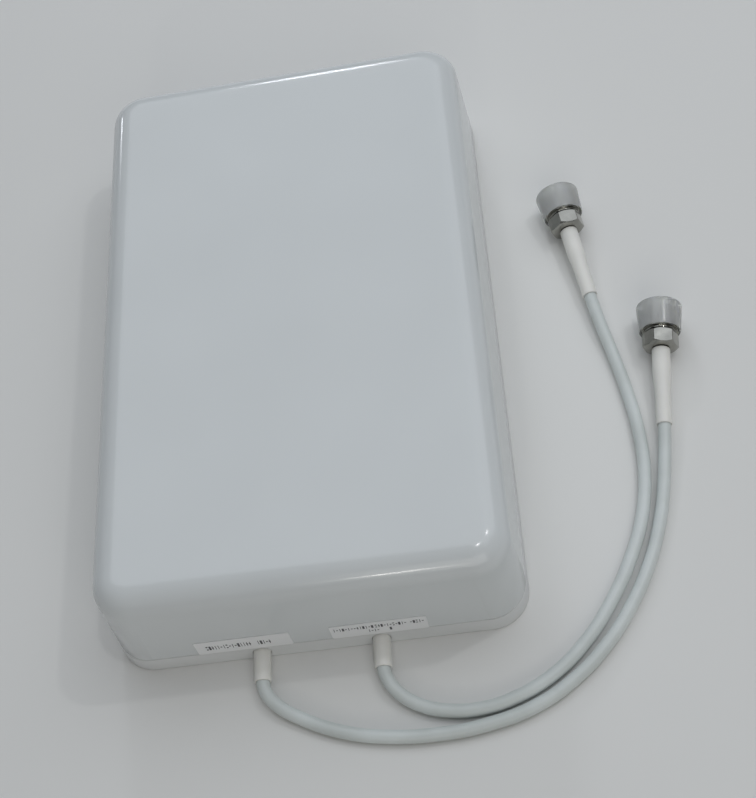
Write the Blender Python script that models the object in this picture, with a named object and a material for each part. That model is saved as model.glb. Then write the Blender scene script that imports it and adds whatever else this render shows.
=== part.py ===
"""Two-port indoor panel antenna of a cellular signal booster.

A white ABS radome closes on a shallow back cover.  Inside, an aluminium reflector carries two stacked
patch radiators.  Two coax leads leave the bottom end wall, each to an N-type jack with a push-on cap.

Frame: the back lies on z = 0, +Z points out of the radome's front, +Y is the top end and the leads leave
the -Y end.  The origin is the centre of the body's back.  Metres throughout; MM turns millimetres to metres.
"""
import math

import bmesh
import bpy
import numpy as np
from mathutils import Matrix, Vector

MM = 0.001

# Body
BODY_WIDTH = 160 * MM
BODY_LENGTH = 257 * MM
BODY_HEIGHT = 52.3 * MM
DRAFT = math.radians(3.8)           # inward lean of the side walls
CORNER_BACK = 13.9 * MM             # upright corner radius at the back
CORNER_FRONT = 15.4 * MM            # upright corner radius where the front fillet starts
FRONT_FILLET = 10.4 * MM
WALL = 2.4 * MM
CORNER_STEPS = 8                    # segments in each rounded corner
FILLET_STEPS = 6
GAP = 0.3 * MM                      # clearance between neighbouring pieces

# Back cover
COVER_FLOOR = 2.5 * MM
COVER_EDGE_TOP = 8.7 * MM           # top of the visible band round the cover
RADOME_EDGE = 9.1 * MM              # lower edge of the radome, above a fine shadow gap
TONGUE_TOP = 12.5 * MM
TONGUE_THICKNESS = 1.6 * MM
COVER_CHAMFER = 0.8 * MM
BOSS_FOOT = 1.5 * MM                # bosses start inside the floor, so that they join it

# Cover screws and the radome posts they enter
POST_X = 61 * MM
POST_Y = 109 * MM
POST_RADIUS = 3.8 * MM
POST_FOOT = 5.4 * MM
POST_BORE = 1.75 * MM
COVER_BOSS_TOP = 5.0 * MM
COVER_BOSS_RADIUS = 5.0 * MM
HEAD_RECESS_RADIUS = 3.4 * MM
HEAD_RECESS_TOP = 2.7 * MM
SCREW_CLEARANCE = 1.9 * MM          # radius of a hole that a 2.8 mm screw passes through
SCREW_SEAT = 2.4 * MM               # height of the underside of the cover screws' heads

# Keyhole slots for two wall screws
KEYHOLE_X = 35 * MM
KEYHOLE_Y = 82 * MM
KEYHOLE_ENTRY = 4.8 * MM            # radius that passes the wall screw's head
KEYHOLE_SLOT = 2.5 * MM             # half width of the slot
KEYHOLE_TRAVEL = 9 * MM
POCKET_RADIUS = 5.4 * MM            # room for the screw's head behind the slot
POCKET_TOP = 8.4 * MM
POCKET_WALL = 1.6 * MM

# Reflector and radiators: heights of each sheet's underside, and sheet thicknesses
REFLECTOR_Z = 12.2 * MM
REFLECTOR_SHEET = 1.2 * MM
REFLECTOR_HALF_WIDTH = 66 * MM
REFLECTOR_FLANGE_TOP = 26 * MM
REFLECTOR_FLANGE_HALF_LENGTH = 99 * MM
REFLECTOR_TAB_HALF_WIDTH = 53 * MM
REFLECTOR_HALF_LENGTH = 113 * MM
REFLECTOR_SCREW_X = 50 * MM
REFLECTOR_SCREW_Y = 60 * MM
REFLECTOR_BOSS_RADIUS = 4.0 * MM
REFLECTOR_BOSS_BORE = 1.7 * MM
REFLECTOR_BEND = 1.5 * MM           # chamfer that stands for the outside of each bend
PATCH_SHEET = 1.0 * MM
LOW_PATCH = dict(x=0, y=-42 * MM, z=29 * MM, width=118 * MM, length=124 * MM)
LOW_DIRECTOR = dict(x=0, y=-42 * MM, z=40 * MM, width=56 * MM, length=56 * MM)
HIGH_PATCH = dict(x=0, y=78 * MM, z=24 * MM, width=64 * MM, length=60 * MM)
HIGH_DIRECTOR = dict(x=0, y=78 * MM, z=34 * MM, width=46 * MM, length=46 * MM)
LOW_SPACERS = [(-45 * MM, -88 * MM), (45 * MM, -88 * MM), (-45 * MM, 4 * MM), (45 * MM, 4 * MM)]
HIGH_SPACERS = [(-22 * MM, 78 * MM), (22 * MM, 78 * MM)]
SPACER_HOLE = 1.9 * MM
FEED_HOLE = 3.4 * MM                # through the reflector, round the feed bush
PIN_HOLE = 1.3 * MM                 # through the patch, round the feed pin

# Leads
CORD_RADIUS = 2.55 * MM
PORT_X = 23.0 * MM
PORT_Z = 4.6 * MM
COLLAR_RADIUS = 3.4 * MM
COLLAR_BORE = 2.8 * MM
COLLAR_END = -140 * MM
COLLAR_START = -118 * MM
COLLAR_TAPER = 0.1 * MM             # how much slimmer the collar is at the lead's end
PORT_HOLE = 3.68 * MM
CHANNEL_END = -106 * MM
CORD_START = -127.5 * MM            # the free lead starts inside its collar
TAIL_START = -127.1 * MM            # and the inner tail ends there
TAIL_Z = 6.8 * MM
TAIL_RADIUS = 2.5 * MM
SADDLE_LENGTH = 9 * MM
SADDLE_HALF_WIDTH = 6.5 * MM
SADDLE_FOOT = 1.1 * MM
SADDLE_WALL = 1.3 * MM
FEEDS = {1: Vector((-PORT_X, 58 * MM, 0)), 2: Vector((PORT_X, -86 * MM, 0))}
SADDLES = {1: (-PORT_X, -95 * MM), 2: (-PORT_X, -10 * MM), 3: (PORT_X, -98 * MM)}

# Labels on the bottom end wall
LABEL_LENGTH = 36.5 * MM
LABEL_LOW = 9.4 * MM
LABEL_HIGH = 18.8 * MM
LABEL_X = {1: -28 * MM, 2: 23.6 * MM}
LABEL_THICKNESS = 0.2 * MM
LABEL_CORNER = 0.8 * MM
LABEL_LIFT = 0.05 * MM

# Connectors: stations along the axis, from the lead's end of the sleeve towards the mouth
SLEEVE_LENGTH = 33.5 * MM
FERRULE_START = 19.6 * MM
CORD_END = 19.2 * MM
FERRULE_RADIUS = 3.1 * MM
HEX_START = 33.8 * MM
HEX_END = 40.2 * MM
HEX_ACROSS_FLATS = 13.0 * MM
HEX_TURN = math.radians(10)
THREAD_START = 41.6 * MM
MOUTH = 51.0 * MM
THREAD_RADIUS = 7.8 * MM
THREAD_CHAMFER = 0.7 * MM
NECK_RADIUS = 6.6 * MM
JACK_BORE = 4.1 * MM
COAX_BORE = 1.9 * MM                # through the crimp ferrule and the back of the jack
INSULATOR_FLOOR = 36.6 * MM
INSULATOR_TOP = 41.0 * MM
CAP_RIM = 41.5 * MM
CAP_END = 53.5 * MM
CAP_RIM_RADIUS = 8.4 * MM
CAP_END_RADIUS = 9.3 * MM
CAP_BORE = 8.0 * MM
CAP_CROWN = 1.5 * MM                # thickness of the cap's closed end
TILT = math.radians(4.0)            # the cap is the widest piece, so it lifts the connector's nose

# Each connector: where its sleeve starts, and its heading measured from +Y towards +X
CONNECTORS = {
    1: dict(entry=Vector((140.5, -54.2, 5.65)) * MM, heading=math.radians(6.7)),
    2: dict(entry=Vector((120.2, 11.6, 5.65)) * MM, heading=math.radians(-8.0)),
}

# Routes of the free leads on the table, from the collar to the connector, in millimetres
ROUTES = {
    1: [(-21.9, -144.2, 4.4), (-18.0, -149.2, 3.8), (-10.0, -154.6, 3.0), (6.2, -161.9, 2.7),
        (23.6, -165.7, 2.7), (41.5, -166.7, 2.7), (59.6, -165.1, 2.7), (77.2, -160.4, 2.7),
        (92.7, -151.7, 2.7), (106.2, -139.8, 2.7), (117.2, -125.7, 2.7), (126.2, -109.8, 2.7),
        (132.6, -93.3, 2.7), (136.2, -79.5, 3.3), (138.3, -68.5, 4.4)],
    2: [(24.2, -144.3, 4.4), (27.9, -149.8, 3.8), (34.9, -154.9, 3.0), (45.8, -158.4, 2.7),
        (57.5, -159.0, 2.7), (69.5, -156.6, 2.7), (85.7, -148.9, 2.7), (99.4, -137.0, 2.7),
        (110.3, -122.9, 2.7), (119.4, -107.3, 2.7), (126.2, -90.6, 2.7), (129.8, -73.0, 2.7),
        (130.4, -54.0, 2.7), (128.6, -35.0, 2.7), (125.6, -17.0, 3.1), (122.6, -2.5, 4.6)],
}
CORD_STEP = 9 * MM                  # spacing of the points along a lead's tube


# ---------------------------------------------------------------- materials and objects

def linear(channel):
    """One sRGB channel, 0 to 255, as the linear value that a shader takes."""
    c = channel / 255
    return c / 12.92 if c <= 0.04045 else ((c + 0.055) / 1.055) ** 2.4


def make_material(name, red, green, blue, roughness, metallic=0.0):
    material = bpy.data.materials.new(name)
    material.use_nodes = True
    shader = material.node_tree.nodes["Principled BSDF"]
    shader.inputs["Base Color"].default_value = (linear(red), linear(green), linear(blue), 1)
    shader.inputs["Roughness"].default_value = roughness
    shader.inputs["Metallic"].default_value = metallic
    return material


def make_object(name, bm, material, smooth=True):
    """Close a bmesh into a named object, with flat faces kept flat and round ones smooth."""
    mesh = bpy.data.meshes.new(name)
    bm.to_mesh(mesh)
    bm.free()
    if smooth:
        mesh.shade_smooth()
        mesh.set_sharp_from_angle(angle=math.radians(35))
    obj = bpy.data.objects.new(name, mesh)
    if material:
        mesh.materials.append(material)
    bpy.context.scene.collection.objects.link(obj)
    return obj


def combine(target, tool, operation):
    """Apply one exact Boolean to the target's mesh and remove the tool."""
    tool.hide_render = True
    tool.display_type = "WIRE"
    modifier = target.modifiers.new(operation.lower(), "BOOLEAN")
    modifier.operation = operation
    modifier.solver = "EXACT"
    modifier.object = tool
    bpy.context.view_layer.update()
    evaluated = target.evaluated_get(bpy.context.evaluated_depsgraph_get())
    mesh = bpy.data.meshes.new_from_object(evaluated)
    target.modifiers.clear()
    old = target.data
    target.data = mesh
    bpy.data.meshes.remove(old)
    mesh.name = target.name
    bpy.data.objects.remove(tool)
    mesh.shade_smooth()
    mesh.set_sharp_from_angle(angle=math.radians(35))


# ---------------------------------------------------------------- shape helpers

def rounded_rectangle(half_width, half_length, radius, steps=CORNER_STEPS):
    """Points round a rectangle with rounded corners, counter-clockwise."""
    points = []
    for corner in range(4):
        sx = (1, -1, -1, 1)[corner]
        sy = (1, 1, -1, -1)[corner]
        centre = Vector((sx * (half_width - radius), sy * (half_length - radius)))
        for step in range(steps + 1):
            angle = math.pi / 2 * (corner + step / steps)
            points.append(centre + radius * Vector((math.cos(angle), math.sin(angle))))
    return points


def arc(x, y, radius, start, sweep, steps):
    """Points along an arc, both ends included."""
    angles = [start + sweep * step / steps for step in range(steps + 1)]
    return [(x + radius * math.cos(a), y + radius * math.sin(a)) for a in angles]


def add_ring(bm, points, z):
    """The corners of one flat outline at height z."""
    return [bm.verts.new((p.x, p.y, z)) for p in points]


def face_outward(bm):
    """Turn every face of one closed solid outwards: a solid that is inside out has a negative volume."""
    bmesh.ops.recalc_face_normals(bm, faces=bm.faces)
    if bm.calc_volume(signed=True) < 0:
        bmesh.ops.reverse_faces(bm, faces=bm.faces)


def loft(bm, rings):
    """Join each ring to the next, corner to corner, and close both ends with a face."""
    for lower, upper in zip(rings, rings[1:]):
        for i, corner in enumerate(lower):
            j = (i + 1) % len(lower)
            bm.faces.new((corner, lower[j], upper[j], upper[i]))
    bm.faces.new(rings[0])
    bm.faces.new(rings[-1])
    face_outward(bm)


def add_prism(bm, points, low, high):
    """An upright prism on a flat outline, as a separate closed solid in bm."""
    verts = [bm.verts.new((p[0], p[1], low)) for p in points]
    face = bm.faces.new(verts)
    bmesh.ops.recalc_face_normals(bm, faces=[face])
    grown = bmesh.ops.extrude_face_region(bm, geom=[face])["geom"]
    tops = [v for v in grown if isinstance(v, bmesh.types.BMVert)]
    bmesh.ops.translate(bm, verts=tops, vec=(0, 0, high - low))
    face_outward(bm)


def circle(x, y, radius, steps=20):
    return arc(x, y, radius, 0, 2 * math.pi * (steps - 1) / steps, steps - 1)


def add_turned(bm, profile, steps):
    """Spin a closed profile of (radius, height) about Z; a side that runs along the axis is left open."""
    verts = [bm.verts.new((r, 0, z)) for r, z in profile]
    pairs = zip(verts, verts[1:] + verts[:1])
    edges = [bm.edges.new((a, b)) for a, b in pairs if a.co.x > 0 or b.co.x > 0]
    bmesh.ops.spin(bm, geom=verts + edges, axis=(0, 0, 1), cent=(0, 0, 0), dvec=(0, 0, 0),
                   angle=2 * math.pi, steps=steps, use_merge=True, use_duplicate=False)
    bmesh.ops.remove_doubles(bm, verts=bm.verts, dist=1e-7)
    face_outward(bm)


def turned(name, profile, material, steps=20):
    bm = bmesh.new()
    add_turned(bm, profile, steps)
    return make_object(name, bm, material)


def place(obj, location):
    obj.location = location
    return obj


# ---------------------------------------------------------------- shell

def wall_inset(z, offset):
    """How far the wall's surface lies inside the back outline at height z."""
    return z * math.tan(DRAFT) + offset / math.cos(DRAFT)


def shell_rings(bm, offset, low):
    """Rings of the radome's outer surface (offset 0) or its inner one (offset = wall)."""
    tangent = BODY_HEIGHT - FRONT_FILLET * (1 - math.sin(DRAFT))
    centre_inset = wall_inset(tangent, 0) + FRONT_FILLET * math.cos(DRAFT)
    centre_z = BODY_HEIGHT - FRONT_FILLET
    radius = FRONT_FILLET - offset
    rings = []
    for step in range(3):
        share = step / 2
        z = low + (tangent - low) * share
        inset = wall_inset(z, offset)
        corner = CORNER_BACK + (CORNER_FRONT - CORNER_BACK) * z / tangent - offset
        rings.append((inset, z, corner))
    start_inset = rings[-1][0]
    for step in range(1, FILLET_STEPS + 1):
        angle = DRAFT + (math.pi / 2 - DRAFT) * step / FILLET_STEPS
        inset = centre_inset - radius * math.cos(angle)
        z = centre_z + radius * math.sin(angle)
        rings.append((inset, z, CORNER_FRONT - offset - (inset - start_inset)))
    return [add_ring(bm, rounded_rectangle(BODY_WIDTH / 2 - inset, BODY_LENGTH / 2 - inset, corner), z)
            for inset, z, corner in rings]


def build_radome(material):
    """Radome: an open shell with four screw posts that hang from its front wall."""
    bm = bmesh.new()
    outer = shell_rings(bm, 0, RADOME_EDGE)
    inner = shell_rings(bm, WALL, RADOME_EDGE)
    loft(bm, outer[::-1] + inner)
    radome = make_object("radome", bm, material)

    posts = bmesh.new()
    post_top = BODY_HEIGHT - WALL / 2
    for sx in (-1, 1):
        for sy in (-1, 1):
            add_prism(posts, circle(sx * POST_X, sy * POST_Y, POST_RADIUS, 16), POST_FOOT, post_top)
    combine(radome, make_object("radome_posts", posts, None), "UNION")

    bores = bmesh.new()
    for sx in (-1, 1):
        for sy in (-1, 1):
            add_prism(bores, circle(sx * POST_X, sy * POST_Y, POST_BORE, 12), POST_FOOT - 1 * MM, 18 * MM)
    combine(radome, make_object("radome_post_bores", bores, None), "DIFFERENCE")
    return radome


def keyhole_outline(x, y):
    """Round entry with a narrower slot that runs towards +Y and ends round."""
    reach = math.asin(KEYHOLE_SLOT / KEYHOLE_ENTRY)
    entry = arc(x, y, KEYHOLE_ENTRY, math.pi / 2 + reach, 2 * math.pi - 2 * reach, 16)
    return entry + arc(x, y + KEYHOLE_TRAVEL, KEYHOLE_SLOT, 0, math.pi, 8)


def pocket_outline(x, y, radius):
    """Round-ended outline of the closed pocket behind a keyhole."""
    return arc(x, y + KEYHOLE_TRAVEL, radius, 0, math.pi, 8) + arc(x, y, radius, math.pi, math.pi, 8)


def build_back_cover(material):
    """Shallow tray: chamfered back edge, visible band, and a tongue that locates inside the radome."""
    tongue_out = WALL + GAP
    tongue_in = tongue_out + TONGUE_THICKNESS
    sections = [
        (COVER_CHAMFER, 0), (0, COVER_CHAMFER), (0, COVER_EDGE_TOP), (tongue_out, COVER_EDGE_TOP),
        (tongue_out, TONGUE_TOP), (tongue_in, TONGUE_TOP), (tongue_in, COVER_FLOOR),
    ]
    bm = bmesh.new()
    rings = []
    for offset, z in sections:
        inset = wall_inset(z, offset)
        outline = rounded_rectangle(BODY_WIDTH / 2 - inset, BODY_LENGTH / 2 - inset, CORNER_BACK - offset)
        rings.append(add_ring(bm, outline, z))
    loft(bm, rings)
    cover = make_object("back_cover", bm, material)

    bosses = bmesh.new()
    for sx in (-1, 1):
        for sy in (-1, 1):
            add_prism(bosses, circle(sx * POST_X, sy * POST_Y, COVER_BOSS_RADIUS), BOSS_FOOT, COVER_BOSS_TOP)
            centre = (sx * REFLECTOR_SCREW_X, sy * REFLECTOR_SCREW_Y)
            add_prism(bosses, circle(*centre, REFLECTOR_BOSS_RADIUS, 16), BOSS_FOOT, REFLECTOR_Z - GAP)
        pocket = pocket_outline(sx * KEYHOLE_X, KEYHOLE_Y, POCKET_RADIUS + POCKET_WALL)
        add_prism(bosses, pocket, BOSS_FOOT, POCKET_TOP + POCKET_WALL)
    combine(cover, make_object("cover_bosses", bosses, None), "UNION")

    hollows = bmesh.new()
    for sx in (-1, 1):
        pocket = pocket_outline(sx * KEYHOLE_X, KEYHOLE_Y, POCKET_RADIUS)
        add_prism(hollows, pocket, COVER_FLOOR, POCKET_TOP)
    combine(cover, make_object("cover_pockets", hollows, None), "DIFFERENCE")

    cuts = bmesh.new()
    for sx in (-1, 1):
        for sy in (-1, 1):
            step_hole = [
                (0, -1 * MM), (HEAD_RECESS_RADIUS, -1 * MM), (HEAD_RECESS_RADIUS, HEAD_RECESS_TOP),
                (SCREW_CLEARANCE, HEAD_RECESS_TOP), (SCREW_CLEARANCE, 6 * MM), (0, 6 * MM),
            ]
            hole = bmesh.new()
            add_turned(hole, step_hole, 16)
            bmesh.ops.translate(hole, verts=hole.verts, vec=(sx * POST_X, sy * POST_Y, 0))
            append(cuts, hole)
            centre = (sx * REFLECTOR_SCREW_X, sy * REFLECTOR_SCREW_Y)
            add_prism(cuts, circle(*centre, REFLECTOR_BOSS_BORE, 12), 3.5 * MM, REFLECTOR_Z)
        add_prism(cuts, keyhole_outline(sx * KEYHOLE_X, KEYHOLE_Y), -1 * MM, COVER_FLOOR + 1 * MM)
        channel = bmesh.new()
        length = CHANNEL_END + BODY_LENGTH / 2 + 2 * MM
        add_prism(channel, circle(0, 0, PORT_HOLE, 24), 0, length)
        lie_down = Matrix.Rotation(-math.pi / 2, 3, "X")
        bmesh.ops.rotate(channel, verts=channel.verts, cent=(0, 0, 0), matrix=lie_down)
        start = Vector((sx * PORT_X, -BODY_LENGTH / 2 - 2 * MM, PORT_Z))
        bmesh.ops.translate(channel, verts=channel.verts, vec=start)
        append(cuts, channel)
    combine(cover, make_object("cover_cuts", cuts, None), "DIFFERENCE")
    return cover


def append(bm, other):
    """Move another bmesh's solids into bm."""
    mesh = bpy.data.meshes.new("part")
    other.to_mesh(mesh)
    other.free()
    bm.from_mesh(mesh)
    bpy.data.meshes.remove(mesh)


# ---------------------------------------------------------------- sheets, screws and spacers

def build_reflector(material):
    """Aluminium tray with bent-up long edges, end tabs and the holes its screws and feeds need."""
    outer = REFLECTOR_HALF_WIDTH
    inner = outer - REFLECTOR_SHEET
    low = REFLECTOR_Z
    high = low + REFLECTOR_SHEET
    bend = REFLECTOR_BEND
    section = [
        (outer - bend, low), (outer, low + bend), (outer, REFLECTOR_FLANGE_TOP),
        (inner, REFLECTOR_FLANGE_TOP), (inner, high + bend / 2), (inner - bend / 2, high),
    ]
    outline = [(x, z) for x, z in section] + [(-x, z) for x, z in section[::-1]]
    bm = bmesh.new()
    half = REFLECTOR_FLANGE_HALF_LENGTH
    verts = [bm.verts.new((x, -half, z)) for x, z in outline]
    face = bm.faces.new(verts)
    grown = bmesh.ops.extrude_face_region(bm, geom=[face])["geom"]
    far = [v for v in grown if isinstance(v, bmesh.types.BMVert)]
    bmesh.ops.translate(bm, verts=far, vec=(0, 2 * half, 0))
    face_outward(bm)
    reflector = make_object("reflector", bm, material)

    tabs = bmesh.new()
    width = REFLECTOR_TAB_HALF_WIDTH
    for sy in (-1, 1):
        ends = sorted((sy * (half - 2 * MM), sy * REFLECTOR_HALF_LENGTH))
        box = [(-width, ends[0]), (width, ends[0]), (width, ends[1]), (-width, ends[1])]
        add_prism(tabs, box, low, high)
    combine(reflector, make_object("reflector_tabs", tabs, None), "UNION")

    holes = bmesh.new()
    for sx in (-1, 1):
        for sy in (-1, 1):
            centre = (sx * REFLECTOR_SCREW_X, sy * REFLECTOR_SCREW_Y)
            add_prism(holes, circle(*centre, SCREW_CLEARANCE, 12), low - 1 * MM, high + 1 * MM)
    for x, y in LOW_SPACERS + HIGH_SPACERS:
        add_prism(holes, circle(x, y, SPACER_HOLE, 12), low - 1 * MM, high + 1 * MM)
    for feed in FEEDS.values():
        add_prism(holes, circle(feed.x, feed.y, FEED_HOLE, 16), low - 1 * MM, high + 1 * MM)
    combine(reflector, make_object("reflector_holes", holes, None), "DIFFERENCE")
    return reflector


def build_patch(name, patch, holes, material):
    """A flat radiator with rounded corners; holes are (x, y, radius)."""
    bm = bmesh.new()
    outline = rounded_rectangle(patch["width"] / 2, patch["length"] / 2, 3 * MM, 3)
    outline = [(p.x + patch["x"], p.y + patch["y"]) for p in outline]
    add_prism(bm, outline, patch["z"], patch["z"] + PATCH_SHEET)
    plate = make_object(name, bm, material, smooth=False)
    cuts = bmesh.new()
    for x, y, radius in holes:
        add_prism(cuts, circle(x, y, radius, 12), patch["z"] - 1 * MM, patch["z"] + PATCH_SHEET + 1 * MM)
    combine(plate, make_object(name + "_holes", cuts, None), "DIFFERENCE")
    return plate


def build_spacer(name, x, y, lower, upper, material):
    """Snap spacer between two sheets; lower and upper are the undersides and thicknesses of the sheets."""
    lower_z, lower_t = lower
    upper_z, upper_t = upper
    pin = 1.5 * MM
    body = 3.0 * MM
    head = 2.3 * MM
    snap = 1.2 * MM
    below = lower_z - GAP
    foot = lower_z + lower_t + GAP
    shoulder = upper_z - GAP
    above = upper_z + upper_t + GAP
    profile = [
        (0, below - snap), (pin * 0.8, below - snap), (head, below), (pin, below),
        (pin, foot), (body, foot), (body, shoulder), (pin, shoulder),
        (pin, above), (head, above), (pin * 0.8, above + snap), (0, above + snap),
    ]
    return place(turned(name, profile, material, 12), (x, y, 0))


def build_screw(name, location, length, material, up=True):
    """Pan-head screw with a conical recess.  up: the head faces +Z."""
    head_radius = 3.0 * MM
    head_height = 1.9 * MM
    shank_radius = 1.4 * MM
    side = 1 if up else -1
    profile = [
        (0, -length), (shank_radius * 0.5, -length), (shank_radius, -length + 1.5 * MM), (shank_radius, 0),
        (head_radius, 0), (head_radius, head_height * 0.45), (head_radius * 0.8, head_height * 0.85),
        (head_radius * 0.45, head_height), (head_radius * 0.35, head_height), (0, head_height * 0.5),
    ]
    profile = [(r, side * z) for r, z in profile]
    return place(turned(name, profile, material, 14), location)


# ---------------------------------------------------------------- feeds and inner coax

def build_feed(number, feed, patch_z, brass, ptfe):
    """Solder cup and pin up to the patch, in a flanged bush that insulates it from the reflector."""
    top = patch_z + PATCH_SHEET
    pin = 1.0 * MM
    cup = 2.2 * MM
    profile = [
        (0, 3.3 * MM), (cup, 3.3 * MM), (cup, 8.6 * MM), (pin, 9.2 * MM), (pin, top + 0.8 * MM),
        (0, top + 1.1 * MM),
    ]
    place(turned(f"feed_pin_{number}", profile, brass, 14), (feed.x, feed.y, 0))
    low = REFLECTOR_Z - GAP
    bush = [(PIN_HOLE, low - 1.4 * MM), (4.6 * MM, low - 1.4 * MM), (4.6 * MM, low), (3.1 * MM, low),
            (3.1 * MM, 15.5 * MM), (PIN_HOLE, 15.5 * MM)]
    place(turned(f"feed_bush_{number}", bush, ptfe, 16), (feed.x, feed.y, 0))


def cord_points(route, step):
    """Natural cubic spline through the route's points, read at about the given spacing."""
    knots = np.array([tuple(p) for p in route])
    lengths = np.linalg.norm(np.diff(knots, axis=0), axis=1)
    t = np.concatenate([[0], np.cumsum(lengths)])
    n = len(knots)
    system = np.zeros((n, n))
    right = np.zeros((n, 3))
    system[0, 0] = system[-1, -1] = 1
    for i in range(1, n - 1):
        system[i, i - 1] = lengths[i - 1]
        system[i, i] = 2 * (lengths[i - 1] + lengths[i])
        system[i, i + 1] = lengths[i]
        right[i] = 6 * ((knots[i + 1] - knots[i]) / lengths[i] - (knots[i] - knots[i - 1]) / lengths[i - 1])
    bend = np.linalg.solve(system, right)
    points = [Vector(knots[0])]
    for i, h in enumerate(lengths):
        count = max(1, round(h / step))
        for k in range(1, count + 1):
            b = k / count
            a = 1 - b
            curl = ((a**3 - a) * bend[i] + (b**3 - b) * bend[i + 1]) * h * h / 6
            points.append(Vector(a * knots[i] + b * knots[i + 1] + curl))
    return points


def build_tube(name, points, radius, resolution, material):
    """Tube with filled caps along a run of points."""
    curve = bpy.data.curves.new(name, "CURVE")
    curve.dimensions = "3D"
    curve.bevel_depth = radius
    curve.bevel_resolution = resolution
    curve.use_fill_caps = True
    spline = curve.splines.new("POLY")
    spline.points.add(len(points) - 1)
    for target, point in zip(spline.points, points):
        target.co = (*point, 1)
    spline.use_smooth = True
    curve.materials.append(material)
    obj = bpy.data.objects.new(name, curve)
    bpy.context.scene.collection.objects.link(obj)
    return obj


def build_tail(number, feed, material):
    """Inner coax: out of the collar, up onto the saddles and straight to its feed."""
    x = feed.x
    end = feed.y - 2.6 * MM
    rise = [(TAIL_START, PORT_Z), (-121 * MM, PORT_Z), (-117 * MM, PORT_Z + 0.2 * MM),
            (-110 * MM, TAIL_Z - 0.4 * MM), (-105 * MM, TAIL_Z), (-100 * MM, TAIL_Z), (end, TAIL_Z)]
    route = [Vector((x, y, z)) for y, z in rise]
    return build_tube(f"coax_tail_{number}", route, TAIL_RADIUS, 2, material)


def build_saddle(number, x, y, material):
    """Adhesive saddle: a foot on the cover's floor with a ring round the coax."""
    foot_low = COVER_FLOOR + GAP
    across = SADDLE_HALF_WIDTH
    along = SADDLE_LENGTH / 2
    bm = bmesh.new()
    foot = [(-across, -along), (across, -along), (across, along), (-across, along)]
    add_prism(bm, foot, foot_low, foot_low + SADDLE_FOOT)
    saddle = make_object(f"cable_saddle_{number}", bm, material)
    rods = ((TAIL_RADIUS + SADDLE_WALL, SADDLE_LENGTH - 1 * MM, "UNION"),
            (TAIL_RADIUS + 0.25 * MM, SADDLE_LENGTH + 2 * MM, "DIFFERENCE"))
    for radius, reach, operation in rods:
        rod = bmesh.new()
        add_prism(rod, circle(0, 0, radius, 18), -reach / 2, reach / 2)
        bmesh.ops.rotate(rod, verts=rod.verts, cent=(0, 0, 0), matrix=Matrix.Rotation(math.pi / 2, 3, "X"))
        bmesh.ops.translate(rod, verts=rod.verts, vec=(0, 0, TAIL_Z))
        combine(saddle, make_object("saddle_rod", rod, None), operation)
    return place(saddle, (x, y, 0))


def build_collar(number, material):
    """Heat-shrunk strain-relief collar in the end wall, tapering slightly to the lead."""
    length = COLLAR_START - COLLAR_END
    tip = COLLAR_RADIUS - COLLAR_TAPER
    profile = [(COLLAR_BORE, 0), (tip - 0.25 * MM, 0), (tip, 0.3 * MM), (COLLAR_RADIUS, 10 * MM),
               (COLLAR_RADIUS, length), (COLLAR_BORE, length)]
    collar = turned(f"exit_collar_{number}", profile, material, 20)
    collar.rotation_euler = (-math.pi / 2, 0, 0)
    side = -1 if number == 1 else 1
    return place(collar, (side * PORT_X, COLLAR_END, PORT_Z))


def build_label(number, material):
    """Thin printed label that lies on the sloping end wall."""
    bm = bmesh.new()
    height = (LABEL_HIGH - LABEL_LOW) / math.cos(DRAFT)
    outline = rounded_rectangle(LABEL_LENGTH / 2, height / 2, LABEL_CORNER, 3)
    add_prism(bm, [(p.x, p.y) for p in outline], 0, LABEL_THICKNESS)
    label = make_object(f"port_label_{number}", bm, material, smooth=False)
    middle = (LABEL_LOW + LABEL_HIGH) / 2
    label.rotation_euler = (math.pi / 2 - DRAFT, 0, 0)
    surface = -BODY_LENGTH / 2 + wall_inset(middle, 0)
    outward = Vector((0, -math.cos(DRAFT), math.sin(DRAFT)))
    return place(label, Vector((LABEL_X[number], surface, middle)) + outward * LABEL_LIFT)


# ---------------------------------------------------------------- connectors

def connector_matrix(number):
    """Local +Z is the connector's axis, from the lead towards the mouth."""
    spot = CONNECTORS[number]
    heading = spot["heading"]
    level = math.cos(TILT)
    axis = Vector((math.sin(heading) * level, math.cos(heading) * level, math.sin(TILT)))
    side = Vector((math.cos(heading), -math.sin(heading), 0))
    rise = axis.cross(side)
    turn = Matrix((side, rise, axis)).transposed()
    return Matrix.Translation(spot["entry"]) @ turn.to_4x4()


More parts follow.
